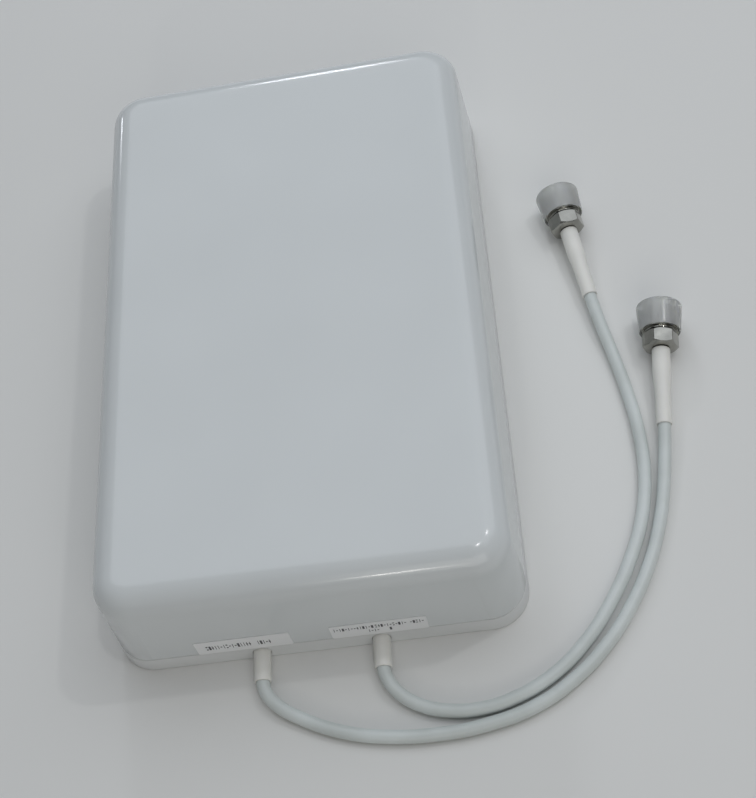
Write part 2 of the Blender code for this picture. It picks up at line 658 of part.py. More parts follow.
def build_jack_body(name, material):
    """Jack body: chamfered hexagon, neck, threaded barrel and the bore that takes the plug."""
    bm = bmesh.new()
    radius = HEX_ACROSS_FLATS / math.sqrt(3)
    corners = [Vector((radius, 0)) for _ in range(6)]
    for i, corner in enumerate(corners):
        corner.rotate(Matrix.Rotation(HEX_TURN + math.pi / 3 * i, 2))
    add_prism(bm, corners, HEX_START, HEX_END)
    body = make_object(name, bm, material)

    limit = bmesh.new()
    flat = HEX_ACROSS_FLATS / 2
    beyond = radius + 0.4 * MM
    lens = [
        (0, HEX_START - 1 * MM), (flat - 1.2 * MM, HEX_START - 1 * MM), (beyond, HEX_START + 1.2 * MM),
        (beyond, HEX_END - 0.9 * MM), (flat - 0.2 * MM, HEX_END + 1 * MM), (0, HEX_END + 1 * MM),
    ]
    add_turned(limit, lens, 24)
    combine(body, make_object("hex_limit", limit, None), "INTERSECT")

    barrel = bmesh.new()
    crest = THREAD_RADIUS - THREAD_CHAMFER
    barrel_profile = [
        (0, HEX_END - 2 * MM), (5.5 * MM, HEX_END - 2 * MM), (NECK_RADIUS, HEX_END - 0.5 * MM),
        (NECK_RADIUS, THREAD_START), (crest, THREAD_START), (THREAD_RADIUS, THREAD_START + THREAD_CHAMFER),
        (THREAD_RADIUS, MOUTH - THREAD_CHAMFER), (crest, MOUTH), (0, MOUTH),
    ]
    add_turned(barrel, barrel_profile, 28)
    combine(body, make_object("barrel", barrel, None), "UNION")

    bore = bmesh.new()
    bore_profile = [
        (0, HEX_START - 1 * MM), (COAX_BORE, HEX_START - 1 * MM), (COAX_BORE, INSULATOR_FLOOR - GAP),
        (JACK_BORE, INSULATOR_FLOOR - GAP), (JACK_BORE, MOUTH + 1 * MM), (0, MOUTH + 1 * MM),
    ]
    add_turned(bore, bore_profile, 20)
    combine(body, make_object("bore", bore, None), "DIFFERENCE")
    return body


def build_connector(number, nickel, ptfe, gold, sleeve_material, cap_material):
    """All pieces of one connector, parented to an empty that stands on its axis."""
    axis = bpy.data.objects.new(f"connector_{number}_axis", None)
    axis.matrix_world = connector_matrix(number)
    bpy.context.scene.collection.objects.link(axis)

    ferrule_end = HEX_START - GAP
    ferrule = [
        (COAX_BORE, FERRULE_START), (FERRULE_RADIUS - 0.2 * MM, FERRULE_START),
        (FERRULE_RADIUS, FERRULE_START + 0.4 * MM), (FERRULE_RADIUS, ferrule_end), (COAX_BORE, ferrule_end),
    ]
    over_lead = 3.15 * MM
    over_ferrule = 3.7 * MM
    lead_bore = COLLAR_BORE
    ferrule_bore = FERRULE_RADIUS + 0.2 * MM
    sleeve = [
        (lead_bore, 0), (over_lead - 0.1 * MM, 0), (over_lead, 0.4 * MM), (over_lead, 15 * MM),
        (over_ferrule - 0.05 * MM, 20 * MM), (over_ferrule, SLEEVE_LENGTH - 0.3 * MM),
        (over_ferrule - 0.15 * MM, SLEEVE_LENGTH), (ferrule_bore, SLEEVE_LENGTH),
        (ferrule_bore, 18.9 * MM), (lead_bore, 15.5 * MM),
    ]
    disc = 3.8 * MM
    disc_hole = 1.1 * MM
    insulator = [
        (disc_hole, INSULATOR_FLOOR), (disc, INSULATOR_FLOOR),
        (disc, INSULATOR_TOP), (disc_hole, INSULATOR_TOP),
    ]
    pin_start = FERRULE_START + 8 * MM
    pin = 0.85 * MM
    socket = 1.5 * MM
    socket_low = INSULATOR_TOP + GAP
    socket_tip = MOUTH - 1.2 * MM
    contact = [
        (0, pin_start), (pin, pin_start), (pin, socket_low), (socket, socket_low),
        (socket, socket_tip - 0.3 * MM), (socket - 0.25 * MM, socket_tip), (pin, socket_tip),
        (pin, socket_tip - 5 * MM), (0, socket_tip - 5.4 * MM),
    ]
    crown = CAP_END - CAP_CROWN
    cap = [
        (CAP_BORE, CAP_RIM), (CAP_RIM_RADIUS, CAP_RIM), (CAP_END_RADIUS, CAP_END - 1.0 * MM),
        (CAP_END_RADIUS - 0.8 * MM, CAP_END), (0, CAP_END), (0, crown), (CAP_BORE, crown),
    ]

    pieces = [
        build_jack_body(f"connector_body_{number}", nickel),
        turned(f"connector_insulator_{number}", insulator, ptfe, 18),
        turned(f"connector_contact_{number}", contact, gold, 12),
        turned(f"crimp_ferrule_{number}", ferrule, nickel, 18),
        turned(f"connector_sleeve_{number}", sleeve, sleeve_material, 20),
        turned(f"connector_cap_{number}", cap, cap_material, 32),
    ]
    for piece in pieces:
        piece.parent = axis


def cord_route(number):
    """Whole route of a free lead: out of the collar, over the table, and up the connector's axis."""
    side = -1 if number == 1 else 1
    start = Vector((side * PORT_X, CORD_START, PORT_Z))
    middle = Vector((side * PORT_X, (CORD_START + COLLAR_END) / 2, PORT_Z))
    collar_end = Vector((side * PORT_X, COLLAR_END, PORT_Z))
    table = [Vector(p) * MM for p in ROUTES[number]]
    frame = connector_matrix(number)
    inside = [frame @ Vector((0, 0, t)) for t in (0, CORD_END / 2, CORD_END)]
    return [start, middle, collar_end] + table + inside


# ---------------------------------------------------------------- assembly

def main():
    for obj in list(bpy.data.objects):
        bpy.data.objects.remove(obj)

    abs_white = make_material("abs_white", 232, 234, 233, 0.22)
    abs_back = make_material("abs_back_white", 226, 227, 224, 0.35)
    aluminium = make_material("aluminium_sheet", 196, 199, 202, 0.35, 1.0)
    steel = make_material("zinc_plated_steel", 190, 192, 190, 0.3, 1.0)
    nylon = make_material("nylon_natural", 226, 222, 208, 0.5)
    brass = make_material("brass", 201, 166, 88, 0.3, 1.0)
    ptfe = make_material("ptfe_white", 240, 240, 236, 0.5)
    gold = make_material("gold_plate", 222, 180, 90, 0.25, 1.0)
    nickel = make_material("nickel_plate", 182, 180, 170, 0.25, 1.0)
    jacket = make_material("pvc_jacket_white", 222, 228, 222, 0.45)
    shrink = make_material("heat_shrink_white", 226, 226, 220, 0.5)
    paper = make_material("label_vinyl", 236, 237, 240, 0.4)
    polyethylene = make_material("polyethylene_frosted", 214, 219, 220, 0.45)

    build_radome(abs_white)
    build_back_cover(abs_back)
    build_reflector(aluminium)

    corners = [(sx, sy) for sx in (-1, 1) for sy in (-1, 1)]
    for index, (sx, sy) in enumerate(corners, 1):
        spot = (sx * POST_X, sy * POST_Y, SCREW_SEAT)
        build_screw(f"cover_screw_{index}", spot, 13 * MM, steel, up=False)
        spot = (sx * REFLECTOR_SCREW_X, sy * REFLECTOR_SCREW_Y, REFLECTOR_Z + REFLECTOR_SHEET + GAP)
        build_screw(f"reflector_screw_{index}", spot, 9 * MM, steel)

    feed_1, feed_2 = FEEDS[1], FEEDS[2]
    low_holes = [(x, y, SPACER_HOLE) for x, y in LOW_SPACERS] + [(0, LOW_PATCH["y"], SPACER_HOLE)]
    build_patch("low_band_patch", LOW_PATCH, low_holes + [(feed_2.x, feed_2.y, PIN_HOLE)], aluminium)
    build_patch("low_band_director", LOW_DIRECTOR, [(0, LOW_DIRECTOR["y"], SPACER_HOLE)], aluminium)
    high_holes = [(x, y, SPACER_HOLE) for x, y in HIGH_SPACERS] + [(0, HIGH_PATCH["y"], SPACER_HOLE)]
    build_patch("high_band_patch", HIGH_PATCH, high_holes + [(feed_1.x, feed_1.y, PIN_HOLE)], aluminium)
    build_patch("high_band_director", HIGH_DIRECTOR, [(0, HIGH_DIRECTOR["y"], SPACER_HOLE)], aluminium)

    sheet = (REFLECTOR_Z, REFLECTOR_SHEET)
    for index, (x, y) in enumerate(LOW_SPACERS, 1):
        build_spacer(f"low_patch_spacer_{index}", x, y, sheet, (LOW_PATCH["z"], PATCH_SHEET), nylon)
    for index, (x, y) in enumerate(HIGH_SPACERS, 1):
        build_spacer(f"high_patch_spacer_{index}", x, y, sheet, (HIGH_PATCH["z"], PATCH_SHEET), nylon)
    for band, patch, director in (("low", LOW_PATCH, LOW_DIRECTOR), ("high", HIGH_PATCH, HIGH_DIRECTOR)):
        lower = (patch["z"], PATCH_SHEET)
        upper = (director["z"], PATCH_SHEET)
        build_spacer(f"{band}_director_post", 0, patch["y"], lower, upper, nylon)

    build_feed(1, feed_1, HIGH_PATCH["z"], brass, ptfe)
    build_feed(2, feed_2, LOW_PATCH["z"], brass, ptfe)
    for number, (x, y) in SADDLES.items():
        build_saddle(number, x, y, nylon)

    for number in (1, 2):
        build_tail(number, FEEDS[number], jacket)
        build_collar(number, shrink)
        build_label(number, paper)
        build_connector(number, nickel, ptfe, gold, shrink, polyethylene)
        build_tube(f"cord_{number}", cord_points(cord_route(number), CORD_STEP), CORD_RADIUS, 3, jacket)


main()
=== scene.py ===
# %% [markdown]
# # A two-port panel antenna of a cellular signal booster
# A flat white plastic case hangs on a wall. Two short coax leads leave its lower end, and each lead ends
# in a threaded metal jack under a frosted push-on cap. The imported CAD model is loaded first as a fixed
# frame: it says where every piece is and how the caps slide. Each later step makes one piece or one finish
# on top of it.

import math
import random

import bmesh
import bpy
from mathutils import Matrix, Vector


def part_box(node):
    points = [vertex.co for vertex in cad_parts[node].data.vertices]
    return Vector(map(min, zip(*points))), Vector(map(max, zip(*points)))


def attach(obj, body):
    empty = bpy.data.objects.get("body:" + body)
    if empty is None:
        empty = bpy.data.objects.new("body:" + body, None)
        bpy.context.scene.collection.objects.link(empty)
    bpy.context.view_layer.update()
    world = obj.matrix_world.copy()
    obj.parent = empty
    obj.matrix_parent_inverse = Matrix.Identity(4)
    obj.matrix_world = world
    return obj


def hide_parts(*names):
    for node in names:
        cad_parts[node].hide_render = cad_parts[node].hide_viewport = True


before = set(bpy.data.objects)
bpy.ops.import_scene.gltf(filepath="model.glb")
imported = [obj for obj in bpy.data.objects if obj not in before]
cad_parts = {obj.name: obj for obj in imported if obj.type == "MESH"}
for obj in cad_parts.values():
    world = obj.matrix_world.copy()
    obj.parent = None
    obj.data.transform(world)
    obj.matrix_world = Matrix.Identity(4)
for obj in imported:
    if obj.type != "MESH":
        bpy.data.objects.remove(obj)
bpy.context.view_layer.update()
MM = 0.001

# %% [markdown]
# ## The camera
# It stands over the leads' end and looks down on the case, turned about its own line of sight, so that the
# case leans to the left. An aim point, two angles and a distance are easier to follow than a matrix, so
# the camera's three axes are worked out from them.

# %% Camera
AIM = Vector((27.2, -20.8, 0)) * MM
DISTANCE = 596.8 * MM
AZIMUTH = math.radians(12.4)
ELEVATION = math.radians(57.9)
ROLL = math.radians(-18.5)
LENS = 64.54                        # millimetres, on a sensor 36 mm wide
SENSOR = 36
NEAR = 10 * MM

back = Vector((math.sin(AZIMUTH) * math.cos(ELEVATION), -math.cos(AZIMUTH) * math.cos(ELEVATION),
               math.sin(ELEVATION)))
level = Vector((math.cos(AZIMUTH), math.sin(AZIMUTH), 0))
rise = back.cross(level)
right = level * math.cos(ROLL) + rise * math.sin(ROLL)
up = rise * math.cos(ROLL) - level * math.sin(ROLL)

camera = bpy.data.objects.new("camera", bpy.data.cameras.new("camera"))
camera.data.sensor_width = SENSOR
camera.data.lens = LENS
camera.data.clip_start = NEAR
axes = Matrix((right, up, back)).transposed().to_4x4()
camera.matrix_world = Matrix.Translation(AIM + back * DISTANCE) @ axes
bpy.context.scene.collection.objects.link(camera)
bpy.context.scene.camera = camera
print("the camera stands at", [round(v, 3) for v in camera.location])

# %% [markdown]
# ## Colours and nodes
# Colours are written as the hex numbers that paint charts give. A shader wants linear light, so one
# function turns them. A second one adds a node with its settings and links, and every material below is
# built with it.

# %% Two helpers for materials
def colour(code):
    """An sRGB hex colour as the linear colour that a shader takes."""
    channels = [int(code[i:i + 2], 16) / 255 for i in (1, 3, 5)]
    linear = [c / 12.92 if c <= 0.04045 else ((c + 0.055) / 1.055) ** 2.4 for c in channels]
    return (*linear, 1.0)


def add_node(material, kind, settings=None, inputs=None, links=None):
    """Add a node; settings are its properties, inputs its own values, and links come from other sockets."""
    node = material.node_tree.nodes.new("ShaderNode" + kind)
    for name, value in (settings or {}).items():
        setattr(node, name, value)
    for name, value in (inputs or {}).items():
        node.inputs[name].default_value = value
    for name, socket in (links or {}).items():
        material.node_tree.links.new(socket, node.inputs[name])
    return node


def start_material(name, base, roughness, **inputs):
    """A new material with its shader's own values; returns it with its shader and its object coordinates."""
    material = bpy.data.materials.new(name)
    material.use_nodes = True
    shader = material.node_tree.nodes["Principled BSDF"]
    shader.inputs["Base Color"].default_value = colour(base)
    shader.inputs["Roughness"].default_value = roughness
    for socket, value in inputs.items():
        shader.inputs[socket.replace("_", " ")].default_value = value
    place = add_node(material, "TexCoord").outputs["Object"]
    print(f"material {name}: {base}, roughness {roughness}")
    return material, shader, place


def connect(material, shader, name, socket):
    """Lead a node's socket to one of the shader's own."""
    material.node_tree.links.new(socket, shader.inputs[name])


# %% [markdown]
# ## Floor and light
# The case lies on a pale matt floor. A wide softbox above gives the front its even tone, and a weaker one
# beyond the lower right corner opens up the end wall. Glossy plastic is told by small bright reflections,
# so a short strip far beyond the top end draws the thin line along the top fillet, and four small lamps
# make the glints on the corners, on the fillet at the leads' end and on the metal. The world only fills
# the shadows.

# %% Floor
FLOOR_REACH = 6                     # metres from the object to the floor's edge

floor_paint, paint_shader, paint_place = start_material("matt_floor_paint", "#E3E3E1", 0.6)
grain = add_node(floor_paint, "TexNoise", inputs={"Scale": 1 / (3 * MM), "Detail": 2},
                 links={"Vector": paint_place})
dimple = add_node(floor_paint, "Bump", inputs={"Strength": 0.05, "Distance": 0.1 * MM},
                  links={"Height": grain.outputs["Fac"]})
connect(floor_paint, paint_shader, "Normal", dimple.outputs["Normal"])

bm = bmesh.new()
bmesh.ops.create_grid(bm, x_segments=1, y_segments=1, size=FLOOR_REACH)
floor_mesh = bpy.data.meshes.new("floor")
bm.to_mesh(floor_mesh)
bm.free()
floor_mesh.materials.append(floor_paint)
floor = bpy.data.objects.new("floor", floor_mesh)
bpy.context.scene.collection.objects.link(floor)

# %% Lights
WORLD_TINT = "#EBEDEF"
WORLD_STRENGTH = 0.13


def soft_light(name, spot, size, power, tint):
    """A rectangular light at a spot, turned to the middle of the case: metres, watts and a hex colour."""
    data = bpy.data.lights.new(name, "AREA")
    data.shape = "RECTANGLE"
    data.size, data.size_y = size
    data.energy = power
    data.color = colour(tint)[:3]
    light = bpy.data.objects.new(name, data)
    facing = Vector(spot).to_track_quat("Z", "Y").to_matrix().to_4x4()
    light.matrix_world = Matrix.Translation(spot) @ facing
    light.visible_camera = False
    bpy.context.scene.collection.objects.link(light)
    print(f"{name}: {power} W")


soft_light("overhead_softbox", (0.35, 0.85, 1.75), (3.3, 2.2), 23.5, "#F2F8FF")
soft_light("corner_fill", (0.45, -1.55, 0.95), (1.4, 1.1), 5.5, "#FFFDF9")
soft_light("top_end_strip", (-0.16, 1.50, 0.80), (0.19, 0.02), 1.9, "#F4F8FF")
soft_light("top_left_lamp", (-1.10, 1.12, 0.42), (0.03, 0.08), 0.3, "#F4F8FF")
soft_light("leads_end_lamp", (-0.11, -1.42, 0.74), (0.05, 0.05), 0.7, "#FFFDF6")
soft_light("ceiling_lamp_1", (0.40, -0.20, 1.60), (0.06, 0.06), 1.4, "#FFFFFF")
soft_light("ceiling_lamp_2", (0.80, 0.32, 1.42), (0.06, 0.06), 1.4, "#FFFFFF")

world = bpy.data.worlds.new("studio")
world.use_nodes = True
sky = world.node_tree.nodes["Background"]
sky.inputs["Color"].default_value = colour(WORLD_TINT)
sky.inputs["Strength"].default_value = WORLD_STRENGTH
bpy.context.scene.world = world
bpy.context.scene.view_settings.view_transform = "Standard"

# %% [markdown]
# ## Finishing a piece
# Every piece below ends in the same way: its bmesh becomes a named object at the origin, smooth where it
# is round and sharp where two faces meet at more than 35 degrees, and it is told which CAD body it moves
# with, which material it wears and which CAD nodes it stands for.

# %% Turn a bmesh into a finished piece
SHARP_ANGLE = math.radians(35)


def finish_piece(bm, name, material, body="antenna", stands_for=()):
    """Make the object, ride it on its body and report its triangles."""
    mesh = bpy.data.meshes.new(name)
    triangles = len(bm.calc_loop_triangles())
    volume = bm.calc_volume(signed=True)
    open_edges = sum(len(edge.link_faces) != 2 for edge in bm.edges)
    bm.to_mesh(mesh)
    bm.free()
    mesh.shade_smooth()
    mesh.set_sharp_from_angle(angle=SHARP_ANGLE)
    mesh.materials.append(material)
    piece = bpy.data.objects.new(name, mesh)
    bpy.context.scene.collection.objects.link(piece)
    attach(piece, body)
    if stands_for:
        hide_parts(*stands_for)
    print(f"{name}: {triangles} triangles, {volume / MM ** 3 / 1000:.2f} cm3, {open_edges} open edges")
    return piece


# %% [markdown]
# ## White PVC lead jacket
# Flexible PVC drawn over the braid of a 5 mm coax. Extrusion leaves it nearly smooth, with a soft gloss,
# faint waves where the braid tells through and a slightly greyer tone where it has been handled.

# %% Material of the leads
pvc_jacket, shader, place = start_material(
    "extruded_white_pvc", "#D9DFDC", 0.38, Subsurface_Weight=0.08, Subsurface_Scale=1.0,
    Subsurface_Radius=(0.6 * MM, 0.6 * MM, 0.5 * MM))
handling = add_node(pvc_jacket, "TexNoise", inputs={"Scale": 1 / (22 * MM), "Detail": 3},
                    links={"Vector": place})
tone = add_node(pvc_jacket, "ValToRGB", links={"Fac": handling.outputs["Fac"]})
tone.color_ramp.elements[0].position = 0.35
tone.color_ramp.elements[0].color = colour("#CDD3D1")
tone.color_ramp.elements[1].position = 0.65
tone.color_ramp.elements[1].color = colour("#DAE0DF")
connect(pvc_jacket, shader, "Base Color", tone.outputs["Color"])
braid = add_node(pvc_jacket, "TexNoise", inputs={"Scale": 1 / (1.6 * MM), "Detail": 1},
                 links={"Vector": place})
waves = add_node(pvc_jacket, "Bump", inputs={"Strength": 0.25, "Distance": 0.06 * MM},
                 links={"Height": braid.outputs["Fac"]})
connect(pvc_jacket, shader, "Normal", waves.outputs["Normal"])
gloss = add_node(pvc_jacket, "MapRange", inputs={"To Min": 0.32, "To Max": 0.46},
                 links={"Value": handling.outputs["Fac"]})
connect(pvc_jacket, shader, "Roughness", gloss.outputs["Result"])

# %% [markdown]
# ## The two leads
# A lead is a fixed length of springy coax. It comes straight out of its collar, drops to the floor and
# sweeps round in one open bend to its jack. A Bezier curve with automatic handles through the route's
# points has no kinks, and its round bevel is the jacket. The points are the frame's own route.

# %% Where the jacks lie
SLEEVE_START = {1: Vector((140.5, -54.2, 5.65)) * MM, 2: Vector((120.2, 11.6, 5.65)) * MM}
HEADING = {1: math.radians(6.7), 2: math.radians(-8.0)}
TILT = math.radians(4.0)


def jack_place(number):
    """The jack's own axis as local Z: it starts at the sleeve's end and lifts a little towards the mouth."""
    heading = HEADING[number]
    axis = Vector((math.sin(heading) * math.cos(TILT), math.cos(heading) * math.cos(TILT), math.sin(TILT)))
    side = Vector((math.cos(heading), -math.sin(heading), 0))
    turn = Matrix((side, axis.cross(side), axis)).transposed()
    return Matrix.Translation(SLEEVE_START[number]) @ turn.to_4x4()


for number in (1, 2):
    print(f"jack {number} starts at", [round(v / MM, 1) for v in jack_place(number).translation], "mm")

# %% The leads' routes
LEAD_RADIUS = 2.55 * MM
PORT_X = {1: -23.0 * MM, 2: 23.0 * MM}
PORT_Z = 4.6 * MM
LEAD_START = -127.5 * MM
COLLAR_END = -140.0 * MM
CRIMP = 19.2 * MM                   # how far the jacket runs into the sleeve
ON_THE_FLOOR = {
    1: [(-21.9, -144.2, 4.4), (-18.0, -149.2, 3.8), (-10.0, -154.6, 3.0), (6.2, -161.9, 2.7),
        (23.6, -165.7, 2.7), (41.5, -166.7, 2.7), (59.6, -165.1, 2.7), (77.2, -160.4, 2.7),
        (92.7, -151.7, 2.7), (106.2, -139.8, 2.7), (117.2, -125.7, 2.7), (126.2, -109.8, 2.7),
        (132.6, -93.3, 2.7), (136.2, -79.5, 3.3), (138.3, -68.5, 4.4)],
    2: [(24.2, -144.3, 4.4), (27.9, -149.8, 3.8), (34.9, -154.9, 3.0), (45.8, -158.4, 2.7),
        (57.5, -159.0, 2.7), (69.5, -156.6, 2.7), (85.7, -148.9, 2.7), (99.4, -137.0, 2.7),
        (110.3, -122.9, 2.7), (119.4, -107.3, 2.7), (126.2, -90.6, 2.7), (129.8, -73.0, 2.7),
        (130.4, -54.0, 2.7), (128.6, -35.0, 2.7), (125.6, -17.0, 3.1), (122.6, -2.5, 4.6)],
}


def lead_route(number):
    """Every point of a lead: in the collar, on the floor, and up the jack's axis."""
    x = PORT_X[number]
    collar = [Vector((x, y, PORT_Z)) for y in (LEAD_START, (LEAD_START + COLLAR_END) / 2, COLLAR_END)]
    floor_points = [Vector(point) * MM for point in ON_THE_FLOOR[number]]
    jack = jack_place(number)
    crimp = [jack @ Vector((0, 0, depth)) for depth in (0, CRIMP / 2, CRIMP)]
    return collar + floor_points + crimp


# %% Make the leads
for number in (1, 2):
    curve = bpy.data.curves.new(f"lead_{number}", "CURVE")
    curve.dimensions = "3D"
    curve.resolution_u = 10
    curve.bevel_depth = LEAD_RADIUS
    curve.bevel_resolution = 8
    curve.use_fill_caps = True
    curve.materials.append(pvc_jacket)
    route = lead_route(number)
    spline = curve.splines.new("BEZIER")
    spline.bezier_points.add(len(route) - 1)
    for bezier, point in zip(spline.bezier_points, route):
        bezier.co = point
        bezier.handle_left_type = bezier.handle_right_type = "AUTO"
    lead = bpy.data.objects.new(f"lead_{number}", curve)
    bpy.context.scene.collection.objects.link(lead)
    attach(lead, "antenna")
    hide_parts(f"cord_{number}")

# %% [markdown]
# ## Gloss white ABS
# The radome is moulded from ABS against a polished tool, so it shines softly and evenly. Close up the
# gloss has a very slight ripple from the way the plastic cooled, and handling dulls it a little in soft
# patches. The ripple is a bump of a few hundredths of a millimetre over 45 mm, which bends long
# reflections and no more. The fine orange peel of a polished tool is about a twentieth as high.

# %% Material of the radome
gloss_abs, shader, place = start_material(
    "polished_white_abs", "#D6DADC", 0.17, IOR=1.53, Subsurface_Weight=0.06, Subsurface_Scale=1.0,
    Subsurface_Radius=(1.2 * MM, 1.2 * MM, 1.3 * MM))
cooling = add_node(gloss_abs, "TexNoise", inputs={"Scale": 1 / (45 * MM), "Detail": 1},
                   links={"Vector": place})
orange_peel = add_node(gloss_abs, "TexNoise", inputs={"Scale": 1 / (2.6 * MM), "Detail": 1},
                       links={"Vector": place})
ripple = add_node(gloss_abs, "Bump", inputs={"Strength": 0.5, "Distance": 0.10 * MM},
                  links={"Height": cooling.outputs["Fac"]})
peel = add_node(gloss_abs, "Bump", inputs={"Strength": 0.12, "Distance": 0.02 * MM},
                links={"Height": orange_peel.outputs["Fac"], "Normal": ripple.outputs["Normal"]})
connect(gloss_abs, shader, "Normal", peel.outputs["Normal"])
handling = add_node(gloss_abs, "TexNoise", inputs={"Scale": 1 / (25 * MM), "Detail": 2},
                    links={"Vector": place})
dull = add_node(gloss_abs, "MapRange", links={"Value": handling.outputs["Fac"]},
                inputs={"From Min": 0.3, "From Max": 0.7, "To Min": 0.13, "To Max": 0.18})
connect(gloss_abs, shader, "Roughness", dull.outputs["Result"])
shade = add_node(gloss_abs, "ValToRGB", links={"Fac": cooling.outputs["Fac"]})
shade.color_ramp.elements[0].color = colour("#D6DADB")
shade.color_ramp.elements[1].color = colour("#DCE0E1")
connect(gloss_abs, shader, "Base Color", shade.outputs["Color"])

# %% [markdown]
# ## The radome
# One shell with leaning walls, rounded upright edges and a wide fillet round its front. It could be a box
# under a Subdivision Surface, but that would crown the flat front. A cube whose edges are bevelled keeps
# its flats flat: the upright edges first, then the loop round the front. A round bevel starts too
# suddenly, though: in a glossy surface its edge would draw a line where the real moulding shades off
# gently. So a few rings are laid inside the flat, and smoothing their heights together with the top of the
# bevel lets the fillet start softly.

# %% Sizes of the case
DRAFT = math.radians(3.8)           # the walls' lean, which lets the shell leave its mould
CORNER = 14.65 * MM
FRONT_FILLET = 10.4 * MM
CORNER_STEPS = 14
WALL = 2.4 * MM
RADOME_EDGE = 9.1 * MM
RIM_ROUND = 0.35 * MM
MERGE = 0.001 * MM                  # points nearer than this are one point
radome_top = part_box("radome")[1]
FRONT = radome_top.z


def half_size(z, offset=0.0):
    """Half width and half length of the case at a height, less an offset from its outside."""
    inset = (z - RADOME_EDGE) * math.tan(DRAFT) + offset / math.cos(DRAFT)
    return radome_top.x - inset, radome_top.y - inset


back_size = [round(2 * v / MM, 1) for v in half_size(0)]
print("the case at its back, in mm:", back_size, "and", round(FRONT / MM, 1), "high")


# %% A block with rounded upright edges
def round_edges(bm, edges, radius, steps):
    """Bevel some edges of a bmesh with a round profile."""
    bmesh.ops.bevel(bm, geom=edges, offset=radius, offset_type="OFFSET", affect="EDGES", segments=steps,
                    profile=0.5, material=-1)


def block(half_x, half_y, low, high, radius, steps, lean=0.0):
    """A cube sized between two heights, narrowed at the top by the lean, with its upright edges bevelled."""
    bm = bmesh.new()
    bmesh.ops.create_cube(bm, size=2)
    bmesh.ops.scale(bm, verts=bm.verts, vec=(half_x, half_y, (high - low) / 2))
    top = [vert for vert in bm.verts if vert.co.z > 0]
    bmesh.ops.scale(bm, verts=top, vec=((half_x - lean) / half_x, (half_y - lean) / half_y, 1))
    upright = [edge for edge in bm.edges if edge.verts[0].co.z * edge.verts[1].co.z < 0]
    round_edges(bm, upright, radius, steps)
    bmesh.ops.translate(bm, verts=bm.verts, vec=(0, 0, (low + high) / 2))
    return bm


def modified(bm, kind, tool=None, **settings):
    """Give a bmesh one modifier, and return what that makes. A tool is the Boolean's second object."""
    temporary = []
    for source in (bm,) if tool is None else (bm, tool):
        mesh = bpy.data.meshes.new("temporary")
        source.to_mesh(mesh)
        source.free()
        part = bpy.data.objects.new("temporary", mesh)
        bpy.context.scene.collection.objects.link(part)
        temporary.append(part)
    modifier = temporary[0].modifiers.new(kind.lower(), kind)
    if tool is not None:
        modifier.object = temporary[1]
    for name, value in settings.items():
        setattr(modifier, name, value)
    made = bmesh.new()
    made.from_object(temporary[0], bpy.context.evaluated_depsgraph_get())
    for part in temporary:
        mesh = part.data
        bpy.data.objects.remove(part)
        bpy.data.meshes.remove(mesh)
    bmesh.ops.remove_doubles(made, verts=made.verts, dist=MERGE)
    return made


def combine(bm, tool, operation):
    """One exact Boolean: UNION, DIFFERENCE or INTERSECT."""
    return modified(bm, "BOOLEAN", tool, operation=operation, solver="EXACT")


def rod(radius, low, high, steps=32):
    """An upright round rod, used as a boss or as the cutter of a hole."""
    bm = bmesh.new()
    bmesh.ops.create_cone(bm, cap_ends=True, segments=steps, radius1=radius, radius2=radius,
                          depth=high - low)
    bmesh.ops.translate(bm, verts=bm.verts, vec=(0, 0, (low + high) / 2))
    return bm


def moved(bm, x, y, z=0.0):
    """Shift a whole bmesh and hand it on."""
    bmesh.ops.translate(bm, verts=bm.verts, vec=(x, y, z))
    return bm


def rotated(bm, angle, axis="Z"):
    """Turn a whole bmesh about one axis and hand it on."""
    bmesh.ops.rotate(bm, verts=bm.verts, cent=(0, 0, 0), matrix=Matrix.Rotation(angle, 3, axis))
    return bm


def face_outwards(bm):
    """Point every face of a closed bmesh outwards."""
    bmesh.ops.recalc_face_normals(bm, faces=bm.faces)
    if bm.calc_volume(signed=True) < 0:
        bmesh.ops.reverse_faces(bm, faces=bm.faces)


# %% Extrude one face in steps
def lift(bm, face, z, offset=None):
    """Extrude a face to height z, and fit it to the case's outline there when an offset is given."""
    inside_the_solid = len(face.edges[0].link_faces) > 1
    grown = bmesh.ops.extrude_face_region(bm, geom=[face])["geom"]
    raised = next(part for part in grown if isinstance(part, bmesh.types.BMFace))
    if inside_the_solid:
        bmesh.ops.delete(bm, geom=[face], context="FACES_ONLY")
    if offset is not None:
        half_x, half_y = half_size(z, offset)
        reach_x = max(v.co.x for v in raised.verts)
        reach_y = max(v.co.y for v in raised.verts)
        bmesh.ops.scale(bm, verts=raised.verts, vec=(half_x / reach_x, half_y / reach_y, 1))
    bmesh.ops.translate(bm, verts=raised.verts, vec=(0, 0, z - raised.verts[0].co.z))
    return raised


# %% Shape the radome
FILLET_STEPS = 12
FLAT_RING = 0.4 * MM                # a narrow ring round each wall's flat, so that its shading stays even
LARGE_FACE = (25 * MM) ** 2

lean = (FRONT - RADOME_EDGE) * math.tan(DRAFT)
bm = block(*half_size(RADOME_EDGE), RADOME_EDGE, FRONT, CORNER, CORNER_STEPS, lean)
front = max(bm.faces, key=lambda face: face.calc_center_median().z)
